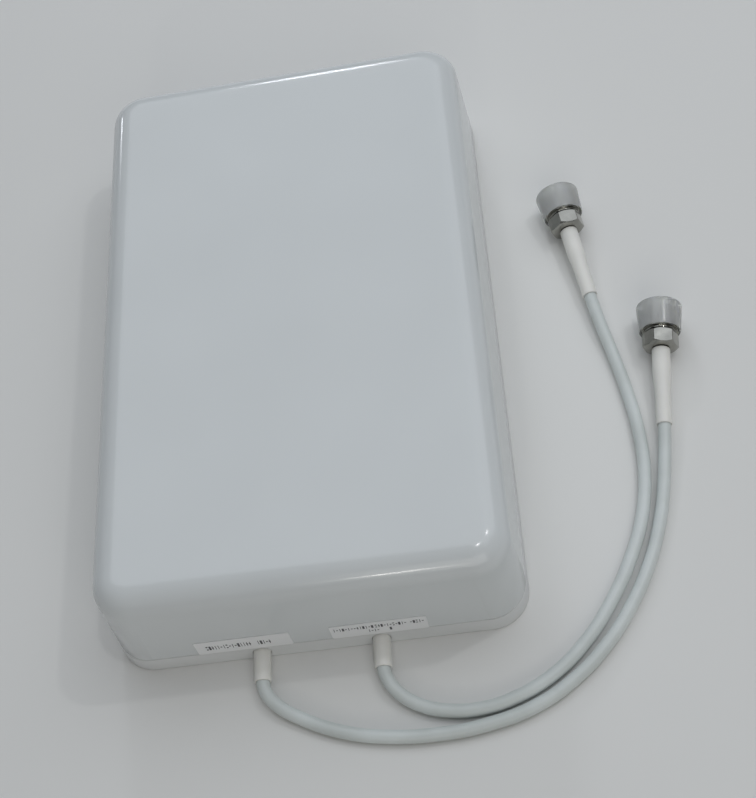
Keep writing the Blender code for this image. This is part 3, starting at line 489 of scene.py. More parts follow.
# Front and wall meet at a little more than a right angle, so the bevel is narrower than its radius.
fillet_width = FRONT_FILLET / math.tan((math.pi / 2 + DRAFT) / 2)
round_edges(bm, front.edges[:], fillet_width, FILLET_STEPS)
open_back = min(bm.faces, key=lambda face: face.calc_center_median().z)
bmesh.ops.delete(bm, geom=[open_back], context="FACES_ONLY")
flats = [face for face in bm.faces if face.calc_area() > LARGE_FACE]
front = max(flats, key=lambda face: face.calc_center_median().z)
flats.remove(front)
bmesh.ops.inset_individual(bm, faces=flats, thickness=FLAT_RING, depth=0, use_even_offset=True)
print("the fillet takes", round(fillet_width / MM, 2), "mm of the front;", len(flats), "walls are flat")

# %% Let the fillet start softly
BLEND = 9 * MM                      # the soft start's width on the front
BLEND_RINGS = 6
BLEND_DEPTH = 3 * MM                # how far down the fillet is smoothed too
BLEND_PASSES = 8

old_edge = front.verts[:]
flat_starts = half_size(FRONT)[0] - max(vert.co.x for vert in old_edge)
for ring in range(1, BLEND_RINGS + 1):
    front = lift(bm, front, FRONT, flat_starts + BLEND * ring / BLEND_RINGS)
blended = [vert for vert in bm.verts if vert.co.z > FRONT - BLEND_DEPTH and front not in vert.link_faces]
for _ in range(BLEND_PASSES):
    bmesh.ops.smooth_vert(bm, verts=blended, factor=0.5, use_axis_x=False, use_axis_y=False, use_axis_z=True)
print("the flat's old edge now lies", round((FRONT - old_edge[0].co.z) / MM, 2), "mm lower")

# %% Give the radome its wall
RIM_TURN = 1.0                      # radians: only the two edges of the rim turn more than this

bm = modified(bm, "SOLIDIFY", thickness=WALL, offset=-1, use_even_offset=True)
for vert in bm.verts:
    vert.co.z = max(vert.co.z, RADOME_EDGE)
reach = max(vert.co.x for vert in bm.verts)
print("the wall reaches", round(reach / MM, 2), "mm out, and is", WALL / MM, "mm thick")
low_edges = [edge for edge in bm.edges if all(vert.co.z < RADOME_EDGE + MERGE for vert in edge.verts)]
rim = [edge for edge in low_edges if edge.calc_face_angle() > RIM_TURN]
round_edges(bm, rim, RIM_ROUND, 3)

# %% Its four screw posts
POST_X = 61 * MM
POST_Y = 109 * MM
SIDES = [(side, end) for side in (-1, 1) for end in (-1, 1)]

for side, end in SIDES:
    post = rod(radius=3.8 * MM, low=5.4 * MM, high=FRONT - WALL / 2)
    bm = combine(bm, moved(post, side * POST_X, end * POST_Y), "UNION")
    pilot = rod(radius=1.75 * MM, low=4 * MM, high=18 * MM)
    bm = combine(bm, moved(pilot, side * POST_X, end * POST_Y), "DIFFERENCE")
finish_piece(bm, "radome_shell", gloss_abs, stands_for=["radome"])

# %% [markdown]
# ## Satin white ABS
# The back cover comes from the same plastic out of a lightly spark-eroded tool, so it looks even, and a
# little duller and warmer than the front. The real grain is too fine to show, so it is drawn half a
# millimetre wide.

# %% Material of the back cover
satin_abs, shader, place = start_material("spark_textured_white_abs", "#DCDEDE", 0.42, IOR=1.53)
spark = add_node(satin_abs, "TexNoise", inputs={"Scale": 1 / (0.5 * MM), "Detail": 3},
                 links={"Vector": place})
grain = add_node(satin_abs, "Bump", inputs={"Strength": 0.35, "Distance": 0.04 * MM},
                 links={"Height": spark.outputs["Fac"]})
connect(satin_abs, shader, "Normal", grain.outputs["Normal"])
rubbing = add_node(satin_abs, "TexNoise", inputs={"Scale": 1 / (35 * MM), "Detail": 4},
                   links={"Vector": place})
shade = add_node(satin_abs, "ValToRGB", links={"Fac": rubbing.outputs["Fac"]})
shade.color_ramp.elements[0].color = colour("#D8DADA")
shade.color_ramp.elements[1].color = colour("#E1E3E3")
connect(satin_abs, shader, "Base Color", shade.outputs["Color"])
worn = add_node(satin_abs, "MapRange", inputs={"To Min": 0.36, "To Max": 0.5},
                links={"Value": rubbing.outputs["Fac"]})
connect(satin_abs, shader, "Roughness", worn.outputs["Result"])

# %% [markdown]
# ## The back cover
# A shallow tray that shows as a narrow band below the radome's edge. It starts as one flat face with
# rounded corners, which is extruded and inset step by step, as a moulder would describe it: rounded back
# edge, band, shoulder, tongue, floor. The keyholes, screw recesses and lead channels are then cut with
# Booleans.

# %% Raise the tray from one face
TRAY_CORNER = CORNER - 0.1 * MM     # lifting scales the outline up, and its corners grow to the radome's
BAND_TOP = 8.7 * MM
BACK_ROUND = 0.8 * MM
TONGUE_TOP = 12.5 * MM
TONGUE = 1.6 * MM
TRAY_FLOOR = 2.5 * MM

bm = bmesh.new()
bmesh.ops.create_grid(bm, x_segments=1, y_segments=1, size=1)
half_x, half_y = half_size(0, BACK_ROUND)
bmesh.ops.scale(bm, verts=bm.verts, vec=(half_x, half_y, 1))
bmesh.ops.bevel(bm, geom=bm.verts[:], offset=TRAY_CORNER, offset_type="OFFSET", affect="VERTICES",
                segments=CORNER_STEPS, profile=0.5, material=-1)
face = bm.faces[:][0]
for angle in (30, 60, 90):
    turn = math.radians(angle)
    face = lift(bm, face, BACK_ROUND * (1 - math.cos(turn)), BACK_ROUND * (1 - math.sin(turn)))
shoulder = ((BAND_TOP - 0.3 * MM, 0), (BAND_TOP - 0.1 * MM, 0.1 * MM), (BAND_TOP, 0.3 * MM))
for z, offset in shoulder:
    face = lift(bm, face, z, offset)
bmesh.ops.inset_region(bm, faces=[face], thickness=WALL, depth=0, use_even_offset=True)
face = lift(bm, face, TONGUE_TOP)
bmesh.ops.inset_region(bm, faces=[face], thickness=TONGUE, depth=0, use_even_offset=True)
face = lift(bm, face, TRAY_FLOOR)
face_outwards(bm)
print("the tray holds", round(bm.calc_volume() / MM ** 3 / 1000, 2), "cm3 of plastic before its cuts")

# %% Bosses, keyholes and lead channels
KEYHOLE = Vector((35 * MM, 82 * MM, 0))
TRAVEL = 9 * MM                     # how far the case drops onto its wall screws
REFLECTOR_SCREW = Vector((50 * MM, 60 * MM, 0))
CUT_BELOW = -1 * MM                 # a cutter starts below the back, so that it cuts right through
pocket_middle = KEYHOLE.y + TRAVEL / 2


def along_travel(half_width, low, high, radius, steps):
    """A block that is longer than wide by the travel of a wall screw."""
    return block(half_width, half_width + TRAVEL / 2, low, high, radius, steps)


for side, end in SIDES:
    boss = rod(radius=5 * MM, low=1.5 * MM, high=5 * MM)
    bm = combine(bm, moved(boss, side * POST_X, end * POST_Y), "UNION")
    boss = rod(radius=4 * MM, low=1.5 * MM, high=11.9 * MM)
    bm = combine(bm, moved(boss, side * REFLECTOR_SCREW.x, end * REFLECTOR_SCREW.y), "UNION")
for side in (-1, 1):
    pocket = along_travel(half_width=7 * MM, low=1.5 * MM, high=10 * MM, radius=6.9 * MM, steps=12)
    bm = combine(bm, moved(pocket, side * KEYHOLE.x, pocket_middle), "UNION")
    hollow = along_travel(half_width=5.4 * MM, low=TRAY_FLOOR, high=8.4 * MM, radius=5.3 * MM, steps=12)
    bm = combine(bm, moved(hollow, side * KEYHOLE.x, pocket_middle), "DIFFERENCE")
    entry = rod(radius=4.8 * MM, low=CUT_BELOW, high=3.5 * MM, steps=40)
    bm = combine(bm, moved(entry, side * KEYHOLE.x, KEYHOLE.y), "DIFFERENCE")
    slot = along_travel(half_width=2.5 * MM, low=CUT_BELOW, high=3.4 * MM, radius=2.45 * MM, steps=10)
    bm = combine(bm, moved(slot, side * KEYHOLE.x, pocket_middle), "DIFFERENCE")
    channel = rotated(rod(radius=3.68 * MM, low=0, high=24.5 * MM, steps=40), -math.pi / 2, "X")
    bm = combine(bm, moved(channel, side * PORT_X[2], -130.5 * MM, PORT_Z), "DIFFERENCE")

# %% Holes for the screws
for side, end in SIDES:
    spot = (side * POST_X, end * POST_Y)
    bm = combine(bm, moved(rod(radius=3.4 * MM, low=CUT_BELOW, high=2.7 * MM), *spot), "DIFFERENCE")
    bm = combine(bm, moved(rod(radius=1.9 * MM, low=CUT_BELOW, high=6 * MM), *spot), "DIFFERENCE")
    bore = rod(radius=1.7 * MM, low=3.5 * MM, high=13 * MM)
    bm = combine(bm, moved(bore, side * REFLECTOR_SCREW.x, end * REFLECTOR_SCREW.y), "DIFFERENCE")
finish_piece(bm, "back_tray", satin_abs, stands_for=["back_cover"])

# %% [markdown]
# ## Turned pieces
# Collars, sleeves, jacks, caps and screws are all round. Each starts as a closed outline of radius and
# height, and a full spin about Z turns it into a solid. Where the outline touches the axis that side is
# left open, and merging the doubled points closes the pole.

# %% Spin an outline
POLE_MERGE = 0.0001 * MM


def turned(outline, steps=48):
    """A closed outline of (radius, height) in millimetres, spun about Z into a solid that faces outwards."""
    bm = bmesh.new()
    verts = [bm.verts.new((radius * MM, 0, height * MM)) for radius, height in outline]
    pairs = zip(verts, verts[1:] + verts[:1])
    edges = [bm.edges.new(pair) for pair in pairs if max(vert.co.x for vert in pair) > 0]
    bmesh.ops.spin(bm, geom=verts + edges, axis=(0, 0, 1), cent=(0, 0, 0), dvec=(0, 0, 0),
                   angle=2 * math.pi, steps=steps, use_merge=True, use_duplicate=False)
    bmesh.ops.remove_doubles(bm, verts=bm.verts, dist=POLE_MERGE)
    face_outwards(bm)
    return bm


def placed(bm, matrix):
    """Put a whole bmesh in its place and hand it on."""
    bmesh.ops.transform(bm, matrix=matrix, verts=bm.verts)
    return bm


def jack_piece(bm, number, name, material, node, body="antenna"):
    """Finish a piece made on a jack's axis; its name and its node's name end in the jack's number."""
    return finish_piece(placed(bm, jack_place(number)), f"{name}_{number}", material, body=body,
                        stands_for=[f"{node}_{number}"])


# %% [markdown]
# ## White heat-shrink
# Polyolefin tube shrunk over the leads' exits and over the crimps. It has a waxy satin surface, warmer
# than the jacket, with faint crosswise wrinkles where it has pulled in.

# %% Material of collars and sleeves
heat_shrink, shader, place = start_material(
    "shrunk_white_polyolefin", "#E3E2DC", 0.45, Subsurface_Weight=0.1, Subsurface_Scale=1.0,
    Subsurface_Radius=(0.8 * MM, 0.8 * MM, 0.6 * MM))
pull = add_node(heat_shrink, "Mapping", inputs={"Scale": (0.35, 1.6, 0.6)}, links={"Vector": place})
wrinkles = add_node(heat_shrink, "TexNoise", inputs={"Scale": 1 / (2.2 * MM), "Detail": 2},
                    links={"Vector": pull.outputs["Vector"]})
pulled = add_node(heat_shrink, "Bump", inputs={"Strength": 0.4, "Distance": 0.12 * MM},
                  links={"Height": wrinkles.outputs["Fac"]})
connect(heat_shrink, shader, "Normal", pulled.outputs["Normal"])
warmth = add_node(heat_shrink, "TexNoise", inputs={"Scale": 1 / (9 * MM), "Detail": 2},
                  links={"Vector": place})
shade = add_node(heat_shrink, "ValToRGB", links={"Fac": warmth.outputs["Fac"]})
shade.color_ramp.elements[0].color = colour("#E6E5DF")
shade.color_ramp.elements[1].color = colour("#F2F1EC")
connect(heat_shrink, shader, "Base Color", shade.outputs["Color"])

# %% Exit collars
COLLAR_MM = 22.0                    # length of a collar
for number in (1, 2):
    outline = [(2.72, 0), (3.05, 0), (3.2, 0.1), (3.28, 0.35), (3.3, 2), (3.36, 7), (3.42, 10.5), (3.4, 12),
               (3.4, COLLAR_MM), (2.8, COLLAR_MM), (2.8, 2)]
    lie_along_y = Matrix.Rotation(-math.pi / 2, 4, "X")
    spot = Matrix.Translation((PORT_X[number], COLLAR_END, PORT_Z))
    finish_piece(placed(turned(outline), spot @ lie_along_y), f"exit_boot_{number}",
                                   heat_shrink, stands_for=[f"exit_collar_{number}"])

# %% Sleeves over the crimps
for number in (1, 2):
    outline = [(2.72, 0), (2.98, 0), (3.1, 0.12), (3.15, 0.4), (3.17, 6), (3.14, 11), (3.18, 15),
               (3.28, 16.6), (3.5, 18.4), (3.62, 19.8), (3.68, 22), (3.7, 28), (3.7, 32.9), (3.66, 33.2),
               (3.56, 33.42), (3.45, 33.5), (3.3, 33.5), (3.3, 18.9), (2.8, 15.5)]
    jack_piece(turned(outline), number, "crimp_sleeve", heat_shrink,
                                 "connector_sleeve")

# %% [markdown]
# ## Nickel plate
# The jack is turned brass with a bright nickel plate, a silver that is only a little warm. Its colour is set
# darker than bare nickel: painted shade that stands in for the dark surroundings a bright metal reflects.
# Turning leaves marks under the plate, which spread its reflections, and handling leaves them duller in
# patches. The real marks are finer, but these are a third of a millimetre wide, so that they show.

# %% Material of jack and ferrule
nickel, shader, place = start_material("nickel_plated_brass", "#9D9C96", 0.16, Metallic=1.0)
marks = add_node(nickel, "TexNoise", inputs={"Scale": 1 / (0.35 * MM), "Detail": 3}, links={"Vector": place})
polish = add_node(nickel, "TexNoise", inputs={"Scale": 1 / (1.6 * MM), "Detail": 2}, links={"Vector": place})
uneven = add_node(nickel, "Bump", inputs={"Strength": 0.5, "Distance": 0.04 * MM},
                  links={"Height": polish.outputs["Fac"]})
tool_marks = add_node(nickel, "Bump", inputs={"Strength": 0.15, "Distance": 0.02 * MM},
                      links={"Height": marks.outputs["Fac"], "Normal": uneven.outputs["Normal"]})
connect(nickel, shader, "Normal", tool_marks.outputs["Normal"])
touched = add_node(nickel, "TexNoise", inputs={"Scale": 1 / (5 * MM), "Detail": 3}, links={"Vector": place})
dull = add_node(nickel, "MapRange", links={"Value": touched.outputs["Fac"]},
                inputs={"From Min": 0.35, "From Max": 0.7, "To Min": 0.09, "To Max": 0.20})
connect(nickel, shader, "Roughness", dull.outputs["Result"])
# The ramp's own silver is darker than bare nickel: painted shade for the dark surroundings it reflects, with
# random duller patches.
shade = add_node(nickel, "ValToRGB", links={"Fac": touched.outputs["Fac"]})
shade.color_ramp.elements[0].color = colour("#868580")
shade.color_ramp.elements[1].color = colour("#B2B1AB")
connect(nickel, shader, "Base Color", shade.outputs["Color"])

# %% [markdown]
# ## The threaded jacks
# A hexagon for the spanner, a neck ring, and a threaded barrel with a bore for the plug. The hexagon is a
# six-sided rod whose upright edges are softened, cut by a turned lens that rounds its corners off. The
# thread is a real helix: a small triangle spun about the axis while it climbs by one pitch for each turn.

# %% A helical thread
PITCH = 1.058 * MM                  # twenty-four turns to the inch
THREAD_LOW = 41.9 * MM
MOUTH = 51.0 * MM
CREST = 7.8 * MM
ROOT = 7.15 * MM
FOOT = ROOT - 0.2 * MM              # the ridge's foot is sunk into the barrel
FOOT_HALF = 0.42 * PITCH
CREST_HALF = 0.08 * PITCH
MOUTH_GAP = 0.7 * MM                # how far below the mouth the ridge's middle ends
RUN_OUT = 0.35 * MM


def thread(steps=28):
    """A closed ridge of triangular section that climbs round the barrel and runs out at both chamfers."""
    bm = bmesh.new()
    count = int((MOUTH - MOUTH_GAP - THREAD_LOW) / PITCH * steps)
    section = [(FOOT, -FOOT_HALF), (CREST, -CREST_HALF), (CREST, CREST_HALF), (FOOT, FOOT_HALF)]
    face = bm.faces.new([bm.verts.new((radius, 0, THREAD_LOW + height)) for radius, height in section])
    bmesh.ops.spin(bm, geom=[face], axis=(0, 0, 1), cent=(0, 0, 0), dvec=(0, 0, PITCH / steps),
                   angle=2 * math.pi * count / steps, steps=count, use_merge=False, use_duplicate=False)
    for vert in bm.verts:
        radius = Vector(vert.co.xy).length
        slope = min(vert.co.z - THREAD_LOW + RUN_OUT, MOUTH - vert.co.z)
        limit = min(CREST, ROOT + max(0, slope))
        if radius > limit:
            vert.co.x *= limit / radius
            vert.co.y *= limit / radius
    face_outwards(bm)
    return bm


def append(bm, other):
    """Add another bmesh's closed shell to this one."""
    mesh = bpy.data.meshes.new("shell")
    other.to_mesh(mesh)
    other.free()
    bm.from_mesh(mesh)
    bpy.data.meshes.remove(mesh)
    return bm


# %% The jack's body
HEX_FLATS = 13.0 * MM
HEX_LOW = 33.8 * MM
HEX_HIGH = 40.2 * MM
HEX_TURN = math.radians(10)
HEX_ROUND = 0.35 * MM


def jack_body():
    """Hexagon, neck ring, barrel and thread about the local axis."""
    corner = HEX_FLATS / math.sqrt(3)
    bm = rod(corner, HEX_LOW, HEX_HIGH, 6)
    upright = [edge for edge in bm.edges if abs(edge.verts[0].co.z - edge.verts[1].co.z) > 1 * MM]
    round_edges(bm, upright, HEX_ROUND, 3)
    # A rod's first corner is on +Y and the turn counts from +X: 90 degrees back is 30 on a hexagon.
    bm = rotated(bm, HEX_TURN - math.radians(30))
    lens = [(0, 32.8), (5.3, 32.8), (5.6, 33.75), (6.6, 34.25), (7.9, 35.2), (7.9, 39.1), (6.9, 39.9),
            (6.3, 40.25), (6.3, 41.2), (0, 41.2)]
    bm = combine(bm, turned(lens, 64), "INTERSECT")
    barrel = [(0, 38.2), (5.5, 38.2), (5.9, 39.6), (6.0, 40.1), (6.0, 40.5), (6.35, 40.6), (6.55, 40.75),
              (6.6, 41.0), (6.55, 41.3), (6.45, 41.5), (6.45, 41.6), (7.15, 41.6), (7.15, 50.8),
              (6.95, 51.0), (0, 51.0)]
    bm = combine(bm, turned(barrel, 64), "UNION")
    bore = [(0, 32.8), (1.9, 32.8), (1.9, 36.3), (4.1, 36.3), (4.1, 49.9), (4.7, 50.6), (4.9, 52.0),
            (0, 52.0)]
    bm = combine(bm, turned(bore, 48), "DIFFERENCE")
    return append(bm, thread())


for number in (1, 2):
    jack_piece(jack_body(), number, "jack", nickel, "connector_body")
    outline = [(1.9, 19.6), (2.8, 19.6), (3.0, 19.75), (3.1, 20.0), (3.1, 26), (2.95, 26.6), (2.95, 31.4),
               (3.1, 32), (3.1, 33.5), (1.9, 33.5)]
    jack_piece(turned(outline), number, "crimp_tube", nickel,
                                  "crimp_ferrule")

# %% [markdown]
# ## Insulator and contact
# Inside the bore a PTFE disc holds a gold-plated socket on the axis. PTFE is a dense, slightly greasy
# white that lets a little light in, with the lathe's marks across it. Gold stays bright and smooth, and
# the socket is sawn into four springy fingers.

# %% PTFE and gold
ptfe, shader, place = start_material(
    "machined_ptfe", "#EDEDE8", 0.5, IOR=1.35, Subsurface_Weight=0.25, Subsurface_Scale=1.0,
    Subsurface_Radius=(1.0 * MM, 1.0 * MM, 1.0 * MM))
lathe = add_node(ptfe, "TexNoise", inputs={"Scale": 1 / (0.4 * MM), "Detail": 2}, links={"Vector": place})
lathe_marks = add_node(ptfe, "Bump", inputs={"Strength": 0.2, "Distance": 0.02 * MM},
                       links={"Height": lathe.outputs["Fac"]})
connect(ptfe, shader, "Normal", lathe_marks.outputs["Normal"])

gold, shader, place = start_material("gold_plated_contact", "#E2B458", 0.22, Metallic=1.0)
bright = add_node(gold, "TexNoise", inputs={"Scale": 1 / (0.8 * MM), "Detail": 2}, links={"Vector": place})
rubbed = add_node(gold, "MapRange", inputs={"To Min": 0.15, "To Max": 0.32},
                  links={"Value": bright.outputs["Fac"]})
connect(gold, shader, "Roughness", rubbed.outputs["Result"])

# %% Insulators and slotted sockets
for number in (1, 2):
    outline = [(1.1, 36.6), (3.6, 36.6), (3.8, 36.8), (3.8, 40.8), (3.6, 41.0), (2.6, 41.0), (2.4, 40.7),
               (1.7, 40.7), (1.5, 41.0), (1.1, 41.0)]
    jack_piece(turned(outline), number, "jack_insulator", ptfe,
                                    "connector_insulator")
    outline = [(0, 27.6), (0.6, 27.6), (0.85, 27.9), (0.85, 41.3), (1.5, 41.3), (1.5, 49.3), (1.4, 49.65),
               (1.2, 49.8), (0.95, 49.8), (0.85, 49.5), (0.85, 44.8), (0, 44.4)]
    bm = turned(outline, 32)
    for angle in (0, math.pi / 2):
        saw = block(half_x=2 * MM, half_y=0.12 * MM, low=45.4 * MM, high=51 * MM, radius=0.02 * MM, steps=1)
        bm = combine(bm, rotated(saw, angle), "DIFFERENCE")
    jack_piece(bm, number, "jack_socket", gold, "connector_contact")

# %% [markdown]
# ## Frosted polyethylene
# The push-on caps are thin polyethylene mouldings. The plastic is milky: it lets light through but not a
# sharp image, so the metal inside shows as a soft darker shape, and the thicker closed end looks paler
# than the skirt. A rough transmission with scatter in the body gives that.

# %% Material of the caps
frosted_pe, shader, place = start_material(
    "frosted_polyethylene", "#F4F6F3", 0.2, IOR=1.51, Transmission_Weight=0.62, Subsurface_Weight=1.0,
    Subsurface_Scale=1.0, Subsurface_Radius=(1.4 * MM, 1.4 * MM, 1.3 * MM))
flow = add_node(frosted_pe, "TexNoise", inputs={"Scale": 1 / (4 * MM), "Detail": 0.5},
                links={"Vector": place})
skin = add_node(frosted_pe, "Bump", inputs={"Strength": 0.15, "Distance": 0.04 * MM},
                links={"Height": flow.outputs["Fac"]})
connect(frosted_pe, shader, "Normal", skin.outputs["Normal"])
haze = add_node(frosted_pe, "MapRange", inputs={"To Min": 0.16, "To Max": 0.24},
                links={"Value": flow.outputs["Fac"]})
connect(frosted_pe, shader, "Roughness", haze.outputs["Result"])

# %% The push-on caps
for number in (1, 2):
    outline = [(8.0, 41.75), (8.05, 41.6), (8.2, 41.5), (8.32, 41.55), (8.42, 41.8), (8.5, 42.6),
               (9.2, 51.6), (9.24, 52.3), (9.2, 52.7), (9.05, 53.05), (8.8, 53.3), (8.4, 53.45), (0, 53.5),
               (0, 52.0), (8.0, 52.0)]
    jack_piece(turned(outline, 64), number, "push_cap", frosted_pe,
                              "connector_cap", body=f"cap_{number}")

# %% [markdown]
# ## Port labels
# Two strips of white vinyl on the lower end wall, each with a line or two of tiny print. The vinyl is
# satin, so it stands out from the gloss round it, and the ink is a matt black that has greyed a little.
# What the labels say is left out: the print is rows of plain bars of the height and spacing of small type,
# which reads as print and says nothing. The bars are thin raised blocks, so that they stay crisp from any
# distance.

# %% Vinyl and ink
label_vinyl, shader, place = start_material("satin_label_vinyl", "#F0F1F2", 0.34, IOR=1.52)
liner = add_node(label_vinyl, "TexNoise", inputs={"Scale": 1 / (2.5 * MM), "Detail": 2},
                 links={"Vector": place})
lay = add_node(label_vinyl, "Bump", inputs={"Strength": 0.2, "Distance": 0.03 * MM},
               links={"Height": liner.outputs["Fac"]})
connect(label_vinyl, shader, "Normal", lay.outputs["Normal"])

ink, shader, place = start_material("thermal_black_ink", "#3B3B40", 0.55)
ribbon = add_node(ink, "TexNoise", inputs={"Scale": 1 / (0.3 * MM), "Detail": 2}, links={"Vector": place})
shade = add_node(ink, "ValToRGB", links={"Fac": ribbon.outputs["Fac"]})
shade.color_ramp.elements[0].color = colour("#2E2E33")
shade.color_ramp.elements[1].color = colour("#55555A")
connect(ink, shader, "Base Color", shade.outputs["Color"])

# %% Where the labels and their rows of print lie
LABEL = Vector((36.5, 9.42, 0.2)) * MM
LABEL_MIDDLE = {1: Vector((-28, 0, 14.1)) * MM, 2: Vector((23.6, 0, 14.1)) * MM}
GLUE_MM = 0.05                      # the glue under a label
TYPE_HEIGHT = {1: 3.0 * MM, 2: 2.2 * MM}
TYPE_PITCH = 1.1 * MM
INK_SUNK = 0.02 * MM
INK_PROUD = 0.03 * MM
# Each row of print: where it starts and ends along the label, and its height above the label's middle.
PRINT = {
    1: [(0.10, 0.57, -0.3 * MM), (0.64, 0.79, -0.3 * MM)],
    2: [(0.03, 0.44, 1.6 * MM), (0.46, 0.78, 1.6 * MM), (0.82, 0.97, 1.6 * MM), (0.38, 0.50, -1.6 * MM),
        (0.60, 0.63, -1.6 * MM)],
}
# The marks of one print cell: width and height as parts of the cell, and how far up or down its middle sits.
MARKS = (
    [(0.22, 1.0, 0)],
    [(0.72, 1.0, 0)],
    [(0.66, 0.28, 0.36), (0.60, 0.28, -0.36)],
    [(0.22, 1.0, 0), (0.66, 0.26, 0.0)],
    [(0.62, 0.22, 0)],
)


def label_place(number):
    """Local Z stands out of the leaning end wall, and local Y runs up it."""
    spot = LABEL_MIDDLE[number].copy()
    spot.y = -half_size(spot.z)[1]
    outward = Vector((0, -math.cos(DRAFT), math.sin(DRAFT)))
    return Matrix.Translation(spot + outward * GLUE_MM * MM) @ Matrix.Rotation(math.pi / 2 - DRAFT, 4, "X")


# %% Labels and their bars
cells = random.Random(7)
for number in (1, 2):
    bm = block(half_x=LABEL.x / 2, half_y=LABEL.y / 2, low=0, high=LABEL.z, radius=0.8 * MM, steps=6)
    finish_piece(placed(bm, label_place(number)), f"port_label_strip_{number}", label_vinyl,
                 stands_for=[f"port_label_{number}"])
    bars = bmesh.new()
    for start, end, height in PRINT[number]:
        for cell in range(max(1, round((end - start) * LABEL.x / TYPE_PITCH))):
            middle = (start - 0.5) * LABEL.x + (cell + 0.5) * TYPE_PITCH
            for width, tall, shift in cells.choice(MARKS):
                bar = block(half_x=width * TYPE_PITCH / 2, half_y=tall * TYPE_HEIGHT[number] / 2,
                            low=LABEL.z - INK_SUNK, high=LABEL.z + INK_PROUD, radius=0.05 * MM, steps=1)
                append(bars, moved(bar, middle, height + shift * TYPE_HEIGHT[number]))
    finish_piece(placed(bars, label_place(number)), f"port_label_print_{number}", ink)

# %% [markdown]
# ## Cover screws
# Four pan-head screws sit in round recesses of the back. Bright zinc plate has a cold, slightly blue-grey
# shine. The cross recess is cut with two thin blocks that narrow towards their tip.

# %% Zinc plate
zinc, shader, place = start_material("bright_zinc_plate", "#B4B8BC", 0.3, Metallic=1.0)
spangle = add_node(zinc, "TexNoise", inputs={"Scale": 1 / (1.2 * MM), "Detail": 3}, links={"Vector": place})
patchy = add_node(zinc, "MapRange", inputs={"To Min": 0.22, "To Max": 0.42},
                  links={"Value": spangle.outputs["Fac"]})
connect(zinc, shader, "Roughness", patchy.outputs["Result"])
shade = add_node(zinc, "ValToRGB", links={"Fac": spangle.outputs["Fac"]})
shade.color_ramp.elements[0].color = colour("#A6ABB0")
shade.color_ramp.elements[1].color = colour("#C2C6CA")
connect(zinc, shader, "Base Color", shade.outputs["Color"])

# %% Pan heads with a cross recess
SCREW_SEAT = 2.4 * MM
SCREW_MM = 13.0                     # length under the head


def pan_screw(length):
    """A screw that points along +Z, with its head below z = 0; its length is in millimetres."""
    outline = [(0, -1.9), (1.3, -1.88), (2.1, -1.68), (2.7, -1.2), (2.95, -0.7), (3.0, -0.2), (2.9, 0),
               (1.4, 0), (1.4, length - 1.5), (0.5, length), (0, length)]
    bm = turned(outline, 40)
    for angle in (math.pi / 4, 3 * math.pi / 4):
        blade = block(half_x=1.55 * MM, half_y=0.32 * MM, low=-2.5 * MM, high=-0.6 * MM, radius=0.03 * MM,
                      steps=1, lean=0.2 * MM)
        bm = combine(bm, rotated(blade, angle), "DIFFERENCE")
    return bm


for number, (side, end) in enumerate(SIDES, 1):
    spot = Matrix.Translation((side * POST_X, end * POST_Y, SCREW_SEAT))
    finish_piece(placed(pan_screw(SCREW_MM), spot), f"cover_pan_screw_{number}", zinc,
                 stands_for=[f"cover_screw_{number}"])

# %% [markdown]
# ## The works inside
# Behind the radome the CAD pieces already have their right shapes: a folded reflector, four flat radiators
# on nylon snap posts, brass feed pins in PTFE bushes, and the coax tails in their saddles. They only need
# finishes, so each node is given a material for its metal or plastic. Rolled sheet shows long fine lines
# along the way it was rolled, drawn brass tarnishes in patches, and nylon is a matt cream.

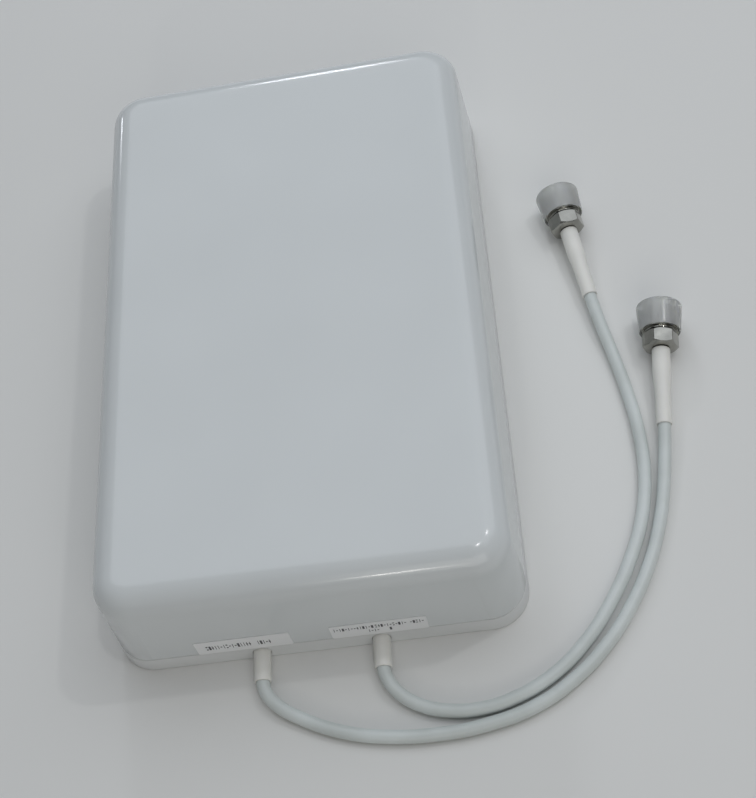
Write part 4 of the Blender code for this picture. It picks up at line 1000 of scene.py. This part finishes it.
# %% Rolled aluminium, brass and nylon
aluminium, shader, place = start_material("rolled_aluminium_sheet", "#C3C6C9", 0.36, Metallic=1.0)
rolling = add_node(aluminium, "Mapping", inputs={"Scale": (1.0, 0.04, 1.0)}, links={"Vector": place})
roll_lines = add_node(aluminium, "TexNoise", inputs={"Scale": 1 / (0.8 * MM), "Detail": 3},
                      links={"Vector": rolling.outputs["Vector"]})
lines = add_node(aluminium, "Bump", inputs={"Strength": 0.2, "Distance": 0.02 * MM},
                 links={"Height": roll_lines.outputs["Fac"]})
connect(aluminium, shader, "Normal", lines.outputs["Normal"])
dull = add_node(aluminium, "MapRange", inputs={"To Min": 0.28, "To Max": 0.45},
                links={"Value": roll_lines.outputs["Fac"]})
connect(aluminium, shader, "Roughness", dull.outputs["Result"])

brass, shader, place = start_material("drawn_brass", "#C9A659", 0.3, Metallic=1.0)
tarnish = add_node(brass, "TexNoise", inputs={"Scale": 1 / (2 * MM), "Detail": 3}, links={"Vector": place})
shade = add_node(brass, "ValToRGB", links={"Fac": tarnish.outputs["Fac"]})
shade.color_ramp.elements[0].color = colour("#B08E49")
shade.color_ramp.elements[1].color = colour("#D4B469")
connect(brass, shader, "Base Color", shade.outputs["Color"])

nylon, shader, place = start_material(
    "natural_nylon", "#E4DFD0", 0.48, Subsurface_Weight=0.2, Subsurface_Scale=1.0,
    Subsurface_Radius=(1.0 * MM, 0.9 * MM, 0.7 * MM))
moulded = add_node(nylon, "TexNoise", inputs={"Scale": 1 / (1.5 * MM), "Detail": 2}, links={"Vector": place})
matt = add_node(nylon, "Bump", inputs={"Strength": 0.2, "Distance": 0.03 * MM},
                links={"Height": moulded.outputs["Fac"]})
connect(nylon, shader, "Normal", matt.outputs["Normal"])

# %% Give the inner nodes their finishes
# The longest start that fits a node's name gives its finish.
INNER = {
    "reflector": aluminium, "low_band_patch": aluminium, "low_band_director": aluminium,
    "high_band_patch": aluminium, "high_band_director": aluminium, "low_patch_spacer": nylon,
    "high_patch_spacer": nylon, "low_director_post": nylon, "high_director_post": nylon,
    "cable_saddle": nylon, "feed_pin": brass, "feed_bush": ptfe, "coax_tail": pvc_jacket,
    "reflector_screw": zinc,
}
finished = 0
for name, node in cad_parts.items():
    fitting = [start for start in INNER if name.startswith(start)]
    if fitting:
        node.data.materials.clear()
        node.data.materials.append(INNER[max(fitting, key=len)])
        finished += 1
print(finished, "inner nodes have their finish")
